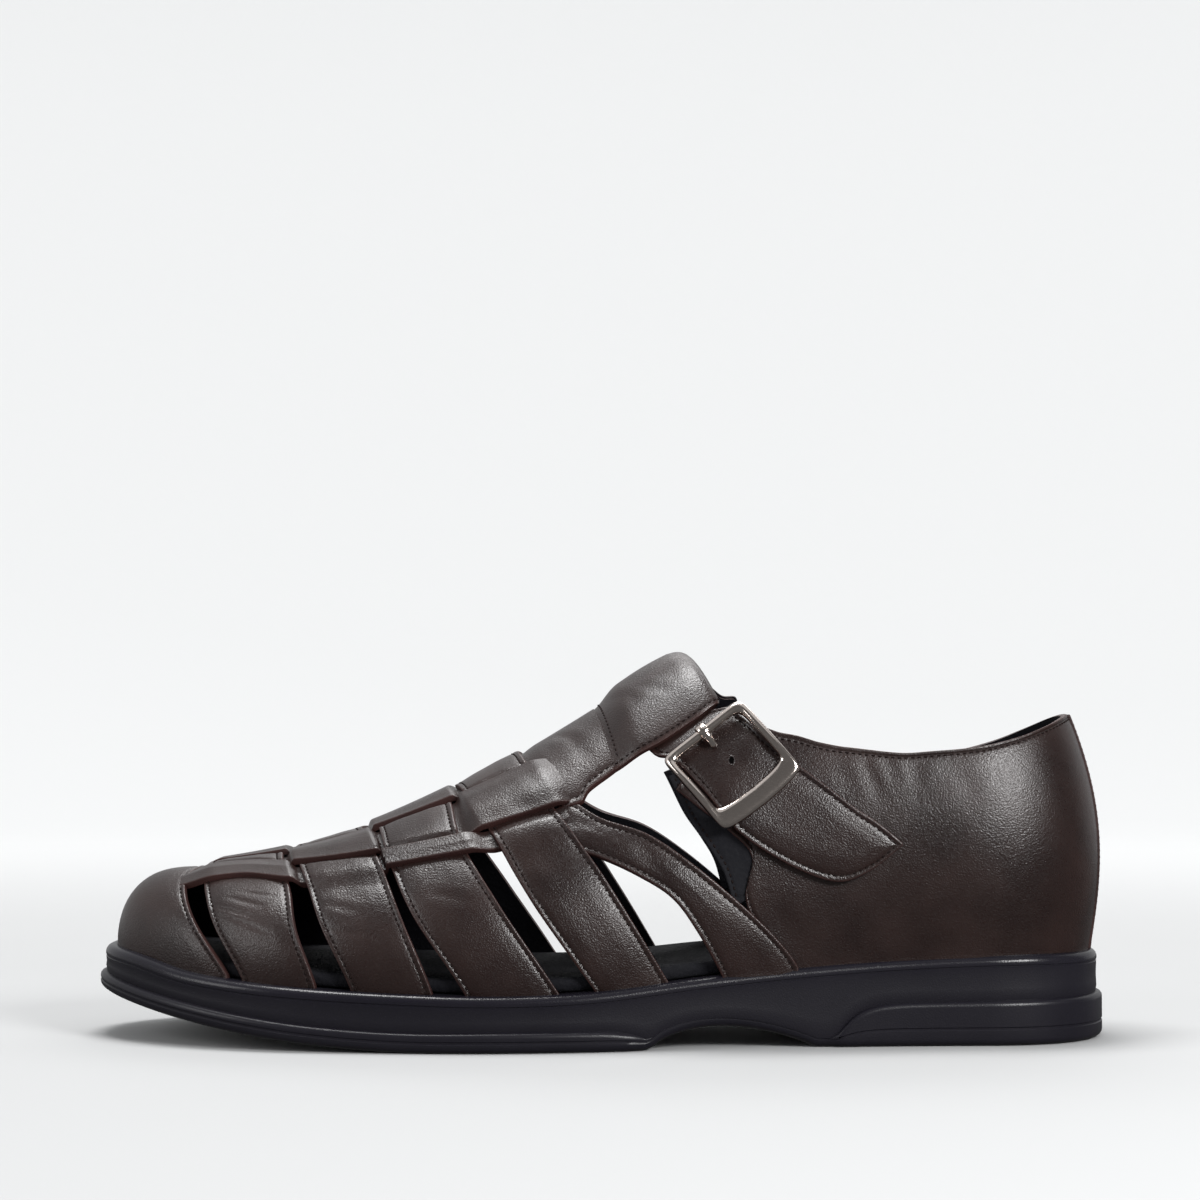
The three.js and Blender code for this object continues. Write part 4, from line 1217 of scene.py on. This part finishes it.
def strap_hole(sheet, u, v):
    """A punched hole: a round turned-in lip drawn just proud of the leather, closed by a black disc of
    painted shade for the hole's dark inside.
    """
    sides = 36
    turn = 2 * np.pi * np.arange(sides) / sides
    lip = ((1.5, -0.05), (1.35, 0.06), (1.2, 0.1), (1.08, 0.07), (1.0, 0.04))
    points = []
    for radius, height in lip:
        at_u = u + radius * np.cos(turn) / sheet.arc[-1]
        at_v = v + radius * np.sin(turn) / sheet.width(u)
        share, across = sheet.spot(at_u, at_v)
        points.append(over_last(share, across, sheet.top(at_u, at_v) + height))
    last = (len(lip) - 1) * sides
    faces = ring_faces(len(lip), sides)[:last].tolist()
    # The last face is the hole's black disc of painted shade
    looks = [0] * len(faces) + [1]
    faces.append([last + i for i in range(sides)])
    return build_mesh("strap_hole", np.concatenate(points), faces, looks, (BROWN_HIDE, PAINTED_HOLE_SHADE), crisp=60.0)


def buckle_axes():
    """Centre of the frame and its three axes, from its corners over the last."""
    corner = {name: over_last(np.float64(s), np.float64(a), FRAME_LIFT) for name, (s, a) in BUCKLE.items()}
    a, b, c, d = (corner[name] for name in ("bar_low", "bar_high", "end_high", "end_low"))
    centre = (a + b + c + d) / 4
    x = unit(b - a + c - d)
    y = c + d - a - b
    z = -unit(np.cross(x, y))
    return centre, x, np.cross(x, z), z


BUCKLE_AXES = buckle_axes()


def on_buckle(points):
    centre, x, y, z = BUCKLE_AXES
    points = np.asarray(points, float)
    return centre + points[..., :1] * x + points[..., 1:2] * y + points[..., 2:] * z


def arch(y):
    """How far the frame bends down towards its ends."""
    return -FRAME_ARCH * (2 * y / FRAME_LENGTH) ** 2


def ring_faces(rings, size):
    """Faces between rings of points, with the last ring joined to the first one."""
    ring = np.arange(rings)[:, None] * size
    other = np.roll(np.arange(rings), -1)[:, None] * size
    i = np.arange(size)[None, :]
    j = (i + 1) % size
    return np.stack([ring + i, ring + j, other + j, other + i], axis=-1).reshape(-1, 4)


def buckle_frame():
    """A round bar, two slim sides and a broad bowed far side with a chamfered face."""
    rings, size = 220, 24
    angle = 2 * np.pi * np.arange(rings) / rings
    angle = angle - 0.2 * np.sin(4 * angle)
    power = 2 / FRAME_SQUARENESS
    u = np.sign(np.cos(angle)) * np.abs(np.cos(angle)) ** power
    v = np.sign(np.sin(angle)) * np.abs(np.sin(angle)) ** power
    far = clamp(v) ** 2
    bow = END_BOW * far * (1 - u * u)
    half_x, half_y = FRAME_WIDTH / 2, FRAME_LENGTH / 2
    outer = np.stack([u * half_x, v * (half_y - np.where(v > 0, END_BOW, 0)) + bow], axis=1)
    reach = np.where(v > 0, half_y - END_BOW - END_WIDTH, half_y - 2 * BAR_RADIUS)
    inner = np.stack([u * (half_x - SIDE_WIDTH), v * reach + bow], axis=1)
    thick = lerp(2 * BAR_RADIUS, END_THICK, far)
    turn = 2 * np.pi * np.arange(size) / size
    cosine, sine = np.cos(turn), np.sin(turn)
    flat = 2 / lerp(2.0, 3.2, far)[:, None]
    mix = (1 + np.sign(cosine) * np.abs(cosine) ** flat) / 2
    rise = np.sign(sine) * np.abs(sine) ** flat
    plan = lerp(inner[:, None, :], outer[:, None, :], mix[:, :, None])
    height = arch(v * half_y)[:, None] + rise * thick[:, None] / 2
    points = np.concatenate([plan, height[..., None]], axis=-1)
    faces = ring_faces(rings, size).tolist()
    return plain_mesh("buckle_metal", on_buckle(points.reshape(-1, 3)), faces, NICKEL, 60.0)


def round_bar(path, radius, size=14):
    """Points and faces of a round bar along a path, in the buckle's own axes."""
    way = unit(np.gradient(path, axis=0))
    side = unit(np.cross(way, [0.0, 0.0, 1.0]) + 1e-9)
    up = np.cross(side, way)
    turn = 2 * np.pi * np.arange(size) / size
    ring = side[:, None, :] * np.cos(turn)[None, :, None] + up[:, None, :] * np.sin(turn)[None, :, None]
    points = path[:, None, :] + ring * radius[:, None, None]
    last = (len(path) - 1) * size
    faces = ring_faces(len(path), size)[:last].tolist()
    faces += [list(range(size))[::-1], [last + i for i in range(size)]]
    return points.reshape(-1, 3), faces


def buckle_prong():
    """A band round the bar, and a short pin that dips into the strap's hole."""
    bar_y = -FRAME_LENGTH / 2 + BAR_RADIUS
    bar_z = arch(FRAME_LENGTH / 2)
    inner = BAR_RADIUS + CLEARANCE / 2
    outer = inner + PRONG_WALL
    sides = 40
    turn = 2 * np.pi * np.arange(sides) / sides
    bevel = 0.25
    pin_start, pin_up, pin_dip, pin_radius = 1.2, 1.7, 2.6, 0.62
    half = PRONG_WIDTH / 2
    profile = [
        (inner, -half + bevel),
        (inner + bevel, -half),
        (outer - bevel, -half),
        (outer, -half + bevel),
        (outer, half - bevel),
        (outer - bevel, half),
        (inner + bevel, half),
        (inner, half - bevel),
    ]
    points = [
        (x, bar_y + radius * math.cos(angle), bar_z + radius * math.sin(angle))
        for angle in turn
        for radius, x in profile
    ]
    faces = ring_faces(sides, len(profile)).tolist()
    drop = np.linspace(0, 1, 12)
    path_y = bar_y + pin_start + PIN_REACH * drop
    path = np.stack([0 * drop, path_y, bar_z + pin_up - pin_dip * drop**1.5], axis=1)
    radius = pin_radius * np.sqrt(1 - clamp((drop - 0.85) / 0.16) ** 2 * 0.9)
    more_points, more_faces = round_bar(path, radius)
    more_points[:, 0] *= PIN_FLAT
    count = len(points)
    faces += [[i + count for i in face] for face in more_faces]
    return plain_mesh("buckle_pin", on_buckle(np.concatenate([points, more_points])), faces, NICKEL, 50.0)


# The sole


def floor_line(x):
    """Height of the sole's underside: the toe spring and the arch."""
    spring = TOE_SPRING * clamp(1 - x / SPRING_END) ** 1.9
    along = clamp((x - ARCH_START) / (ARCH_END - ARCH_START))
    return spring + ARCH_HEIGHT * np.maximum(0, np.sin(np.pi * along**0.8)) ** 0.8


def sole_plan(turn, side, inset):
    """The sole's outline, moved inwards by a distance."""
    small = 1e-3
    inside = clamp(turn, small, 1 - small)
    x, y = outline(turn, side, 0.0, SOLE_LENGTH, BALL_WIDTH / 2)
    before = np.stack(outline(inside - small, side, 0.0, SOLE_LENGTH, BALL_WIDTH / 2), axis=-1)
    after = np.stack(outline(inside + small, side, 0.0, SOLE_LENGTH, BALL_WIDTH / 2), axis=-1)
    along = unit(after - before)
    tip = (turn < small) | (turn > 1 - small)
    inward_x = np.where(tip, np.where(turn < small, 1.0, -1.0), side * along[..., 1])
    inward_y = np.where(tip, 0.0, -side * along[..., 0])
    return x + inward_x * inset, y + inward_y * inset


def closed_outline(count):
    """Turns and sides of an outline's points, from the toe along one side to the heel and back."""
    turns = np.linspace(0, 1, count)
    turn = np.concatenate([turns, turns[-2:0:-1]])
    side = np.concatenate([np.full(count, -1.0), np.full(count - 2, 1.0)])
    return turn, side


def stack_faces(rows, count):
    """Faces of a stack of such outlines, closed below and above."""
    size = 2 * count - 2
    last = (rows - 1) * size
    faces = ring_faces(rows, size)[:last].tolist()
    for base, flip in ((0, True), (last, False)):
        for i in range(count - 1):
            quad = [base + i, base + i + 1, base + (size - i - 1) % size, base + (size - i) % size]
            kept = list(dict.fromkeys(quad))
            faces.append(kept[::-1] if flip else kept)
    return faces


def sole_body():
    """Rings from the floor up: tread edge, rand or heel panel with its rib, side band and round lip."""
    count = 230
    turn, side = closed_outline(count)
    x0 = sole_plan(turn, side, 0.0)[0]
    share = x0 / SOLE_LENGTH
    floor = floor_line(x0)
    seat = read(SEAT, "height", share) * HEEL_SEAT - CLEARANCE
    proud = clamp(read(RAND, "proud", share))
    wall = RAND_OUT * (1 - proud)
    rand = floor + read(RAND, "height", share) * HEEL_PANEL
    band = RAND_OUT
    levels = []

    def level(inset, height, gloss=0.0):
        levels.append((inset + 0 * x0, height + 0 * x0, gloss))

    for angle in np.linspace(0, math.pi / 2, 6):
        round_in, round_up = 1 - math.sin(angle), 1 - math.cos(angle)
        level(wall + BOTTOM_ROUND * round_in, floor + BOTTOM_ROUND * round_up * 0.75)
    rib = lerp(floor + 2.0, rand, 0.28)
    for offset, depth in ((-0.5, 0.0), (-0.2, 0.28), (0.2, 0.28), (0.5, 0.0)):
        level(wall + depth * proud, np.maximum(rib + offset, floor + 2.2 + 0.1 * offset), 0.2)
    for drop, step in ((1.6, 0.0), (0.9, 0.05), (0.35, 0.3), (0.05, 0.75)):
        level(lerp(wall, band, step * proud), rand - drop * proud + 0.02, 0.5)
    level(band + 0.35, rand + 0.12)
    level(band + 0.3, rand + 0.6)
    level(band + 0.1, rand + 1.6)
    low_lip = seat - LIP_ROUND - 1.1
    for part in (0.25, 0.5, 0.75):
        level(band + 0.25 * math.sin(math.pi * part), lerp(rand + 1.6, low_lip, part))
    for rise, depth in ((0.0, 0.1), (0.2, 0.3), (0.5, 0.3), (0.7, 0.02), (1.0, 0.0)):
        level(band + depth, low_lip + rise, 0.5)
    lip = LIP_ROUND
    for angle in np.linspace(5, 90, 9):
        bend = math.radians(angle)
        level(band + lip * (1 - math.cos(bend)), seat - lip + lip * math.sin(bend), 1.0)
    level(band + LIP_ROUND + 1.2, seat, 0.4)
    points, gloss = [], []
    for inset, height, shine in levels:
        x, y = sole_plan(turn, side, inset)
        points.append(np.stack([x, y, height], axis=1))
        gloss.append(np.full(len(turn), shine))
    faces = stack_faces(len(levels), count)
    attributes = {"gloss": np.concatenate(gloss)}
    return plain_mesh("sole_body", np.concatenate(points), faces, SOLE_RUBBER, 35.0, attributes)


def footbed():
    """The covered footbed: a closed crowned pad with a round edge."""
    count = 150
    turn, side = closed_outline(count)
    half = BALL_WIDTH / 2 - SIDE_INSET
    levels = []
    for angle in np.linspace(-90, 90, 9):
        bend = math.radians(angle)
        levels.append((INSOLE_INSET + 1.2 * (1 - math.cos(bend)), INSOLE_THICK * (1 + math.sin(bend)) / 2))
    for inset, rise in ((3.5, 0.05), (8.0, 0.1), (14.0, -0.1), (24.0, -0.5)):
        levels.append((INSOLE_INSET + inset, INSOLE_THICK + rise))
    points = []
    for inset, rise in levels:
        x, y = outline(turn, side, LAST_START + inset, LAST_END - inset, half - inset)
        seat = read(SEAT, "height", x / SOLE_LENGTH) * HEEL_SEAT
        points.append(np.stack([x, y, seat + rise], axis=1))
    faces = stack_faces(len(levels), count)
    return plain_mesh("footbed", np.concatenate(points), faces, FOOTBED_HIDE, 60.0)


# Stitches


def stitch_tree():
    """Lays short stitches along the edges of a mesh, upright to its stored outward direction."""
    tree = bpy.data.node_groups.new("Lay stitches", "GeometryNodeTree")
    for label, kind, way in (
        ("Geometry", "Geometry", "INPUT"),
        ("Pitch", "Float", "INPUT"),
        ("Length", "Float", "INPUT"),
        ("Width", "Float", "INPUT"),
        ("Thread", "Material", "INPUT"),
        ("Geometry", "Geometry", "OUTPUT"),
    ):
        tree.interface.new_socket(label, in_out=way, socket_type="NodeSocket" + kind)
    into, out = tree.nodes.new("NodeGroupInput"), tree.nodes.new("NodeGroupOutput")
    outward = node(tree, "GeometryNodeInputNamedAttribute", {"Name": "outward"}, data_type="FLOAT_VECTOR")
    curve = node(tree, "GeometryNodeMeshToCurve", {"Mesh": into.outputs["Geometry"]})
    rows = node(
        tree,
        "GeometryNodeResampleCurve",
        {"Curve": curve.outputs[0], "Length": into.outputs["Pitch"]},
        mode="LENGTH",
    )
    tangent = tree.nodes.new("GeometryNodeInputTangent")
    lengthwise = node(
        tree, "FunctionNodeAlignRotationToVector", {"Vector": tangent.outputs[0]}, axis="X"
    )
    upright = node(
        tree,
        "FunctionNodeAlignRotationToVector",
        {"Rotation": lengthwise.outputs[0], "Vector": outward.outputs[0]},
        axis="Z",
        pivot_axis="X",
    )
    bead = node(tree, "GeometryNodeMeshUVSphere", {"Segments": 8, "Rings": 5, "Radius": 0.5})
    size = node(
        tree,
        "ShaderNodeCombineXYZ",
        {"X": into.outputs["Length"], "Y": into.outputs["Width"], "Z": into.outputs["Width"]},
    )
    laid = node(
        tree,
        "GeometryNodeInstanceOnPoints",
        {
            "Points": rows.outputs[0],
            "Instance": bead.outputs[0],
            "Rotation": upright.outputs[0],
            "Scale": size.outputs[0],
        },
    )
    real = node(tree, "GeometryNodeRealizeInstances", {"Geometry": laid.outputs[0]})
    smooth = node(tree, "GeometryNodeSetShadeSmooth", {0: real.outputs[0]})
    finished = node(
        tree,
        "GeometryNodeSetMaterial",
        {"Geometry": smooth.outputs[0], "Material": into.outputs["Thread"]},
    )
    tree.links.new(finished.outputs[0], out.inputs[0])
    return tree


def stitches(name, seams):
    """One mesh of all stitches along the seams."""
    points, edges, outward = [], [], []
    for line, normal in seams:
        base = len(points)
        points += to_frame(line).tolist()
        outward += normal.tolist()
        edges += [(base + i, base + i + 1) for i in range(len(line) - 1)]
    mesh = bpy.data.meshes.new(name + "_rows")
    mesh.from_pydata(points, edges, [])
    layer = mesh.attributes.new("outward", "FLOAT_VECTOR", "POINT")
    layer.data.foreach_set("vector", np.asarray(outward, float).ravel())
    rows = bpy.data.objects.new(name + "_rows", mesh)
    bpy.context.scene.collection.objects.link(rows)
    modifier = rows.modifiers.new("Lay stitches", "NODES")
    tree = stitch_tree()
    modifier.node_group = tree
    values = {
        "Pitch": STITCH_PITCH / 1000,
        "Length": STITCH_LENGTH / 1000,
        "Width": STITCH_WIDTH / 1000,
        "Thread": THREAD,
    }
    for item in tree.interface.items_tree:
        if item.in_out == "INPUT" and item.name in values:
            modifier[item.identifier] = values[item.name]
    graph = bpy.context.evaluated_depsgraph_get()
    made = bpy.data.meshes.new_from_object(rows.evaluated_get(graph), depsgraph=graph)
    made.name = name
    piece = bpy.data.objects.new(name, made)
    bpy.context.scene.collection.objects.link(piece)
    bpy.data.objects.remove(rows)
    return piece


# Camera, light and floor

WALL_GLOW = 0.52  # light of the wall behind
GLOW_START, GLOW_RUN = 0.2, 1.1  # metres from the shoe
CARD_GLOW = 0.09  # painted reflection: the faint glow that shiny faces see in the black cards
SCREEN_RADIUS, SCREEN_HEIGHT = 1.25, 1.9
FLOOR_FLAT, FLOOR_TURN, WALL_TOP = 1.3, 0.7, 1.3
CAMERA_AT = np.array([150.0, -850.0, 99.0])  # in the shoe's own millimetres
FOCAL = 84.5
PITCH = 2.07  # degrees above level

camera_data = bpy.data.cameras.new("camera")
camera_data.lens = FOCAL
camera_data.sensor_width = 36.0
camera = bpy.data.objects.new("camera", camera_data)
camera.location = to_frame(CAMERA_AT)
camera.rotation_euler = (math.radians(90 + PITCH), 0, 0)
bpy.context.scene.collection.objects.link(camera)
bpy.context.scene.camera = camera


def area_light(name, place, target, size, power):
    """A soft light aimed at a target, in metres and watts."""
    data = bpy.data.lights.new(name, "AREA")
    data.shape = "RECTANGLE"
    data.size, data.size_y = size
    data.energy = power
    light = bpy.data.objects.new(name, data)
    light.location = place
    aim = Vector(target) - Vector(place)
    light.rotation_euler = aim.to_track_quat("-Z", "Y").to_euler()
    light.visible_camera = False
    bpy.context.scene.collection.objects.link(light)


area_light("top", (-0.1, 0.16, 1.15), (0, 0, 0.05), (0.62, 0.32), 14.0)
area_light("side", (0.66, -0.8, 0.56), (0.08, 0, 0.06), (0.4, 0.3), 13.0)
area_light("left", (-0.95, -0.55, 0.55), (-0.08, 0, 0.04), (0.35, 0.5), 3.0)
area_light("back", (0.2, 0.9, 0.9), (0, 0, 0.05), (1.0, 0.4), 4.0)


def dark_card(name, near, far, first, last):
    """A black card between two arcs, each with a radius and a height, that only shiny faces see; its faint
    glow is a painted reflection.
    """
    steps = 24
    turn = np.radians(np.linspace(first, last, steps))
    points = [(r * math.cos(t), r * math.sin(t), z) for r, z in (near, far) for t in turn]
    faces = [(i, i + 1, steps + i + 1, steps + i) for i in range(steps - 1)]
    mesh = bpy.data.meshes.new(name)
    mesh.from_pydata(points, [], faces)
    material, tree, shader = new_material(name)
    shader.inputs["Base Color"].default_value = (0.01, 0.01, 0.01, 1)
    shader.inputs["Roughness"].default_value = 1.0
    shader.inputs["Emission Color"].default_value = (1, 1, 1, 1)
    shader.inputs["Emission Strength"].default_value = CARD_GLOW
    mesh.materials.append(material)
    card = bpy.data.objects.new(name, mesh)
    bpy.context.scene.collection.objects.link(card)
    card.visible_camera = False
    card.visible_diffuse = False
    card.visible_shadow = False


dark_card("dark_screen", (SCREEN_RADIUS, 0.0), (SCREEN_RADIUS, SCREEN_HEIGHT), -155, 25)
# The plate lies under the floor and only shiny faces see it; its faint glow is a painted reflection of the
# floor
dark_card("dark_plate", (0.001, -0.004), (FLOOR_FLAT, -0.004), 0, 360)

world = bpy.data.worlds.new("studio")
world.use_nodes = True
sky = next(n for n in world.node_tree.nodes if n.type == "BACKGROUND")
sky.inputs["Color"].default_value = (0.86, 0.87, 0.88, 1)
sky.inputs["Strength"].default_value = 0.62
bpy.context.scene.world = world


def studio_floor():
    """A pale floor that turns up into a wall all round, and glows a little away from the lights."""
    material, tree, shader = new_material("pale_floor")
    shader.inputs["Base Color"].default_value = (0.385, 0.388, 0.39, 1)
    shader.inputs["Roughness"].default_value = 0.7
    shader.inputs["Specular IOR Level"].default_value = 0.1
    shader.inputs["Emission Color"].default_value = (0.99, 1.0, 1.0, 1)
    glow = node(tree, "ShaderNodeAttribute", attribute_name="glow").outputs["Fac"]
    tree.links.new(glow, shader.inputs["Emission Strength"])
    rings = [(r, 0.0) for r in np.linspace(0.1, FLOOR_FLAT, 13)]
    for bend in np.linspace(0, math.pi / 2, 12)[1:]:
        rings.append((FLOOR_FLAT + FLOOR_TURN * math.sin(bend), FLOOR_TURN * (1 - math.cos(bend))))
    rings.append((FLOOR_FLAT + FLOOR_TURN, WALL_TOP))
    sides = 96
    turn = 2 * np.pi * np.arange(sides) / sides
    points = [(r * math.cos(t), r * math.sin(t), z) for r, z in rings for t in turn]
    faces = [face[::-1] for face in ring_faces(len(rings), sides)[: (len(rings) - 1) * sides].tolist()]
    faces.append(list(range(sides)))
    mesh = bpy.data.meshes.new("studio_floor")
    mesh.from_pydata(points, [], faces)
    layer = mesh.attributes.new("glow", "FLOAT", "POINT")
    away = np.hypot(*np.array(points)[:, :2].T)
    layer.data.foreach_set("value", WALL_GLOW * ease((away - GLOW_START) / GLOW_RUN))
    mesh.materials.append(material)
    mesh.shade_smooth()
    floor = bpy.data.objects.new("studio_floor", mesh)
    bpy.context.scene.collection.objects.link(floor)
    # Shiny faces see the glowing plate underneath instead: a painted reflection of the floor
    floor.visible_glossy = False


studio_floor()
bpy.context.scene.view_settings.view_transform = "Standard"

# The shoe, put together

UPPER = [toe_cap()]
UPPER += [cross_strap(number) for number in range(4)]
UPPER += [length_strip(number) for number in range(5)]
UPPER += [tee_panel(), tee_loop(), branch("outer_branch", -1), branch("inner_branch", 1)]
UPPER += [quarter(), heel_stay()]
for piece in UPPER:
    keep(piece, "upper")
for piece in (facing("outer_facing", -1), facing("inner_facing", 1)):
    keep(piece, "upper")
for piece in ankle_strap():
    keep(piece, "ankle_strap")
keep(stitches("stitching", SEAMS), None)
keep(sole_body(), "sole")
keep(footbed(), "insole")
keep(buckle_frame(), "buckle_frame")
keep(buckle_prong(), "buckle_prong")
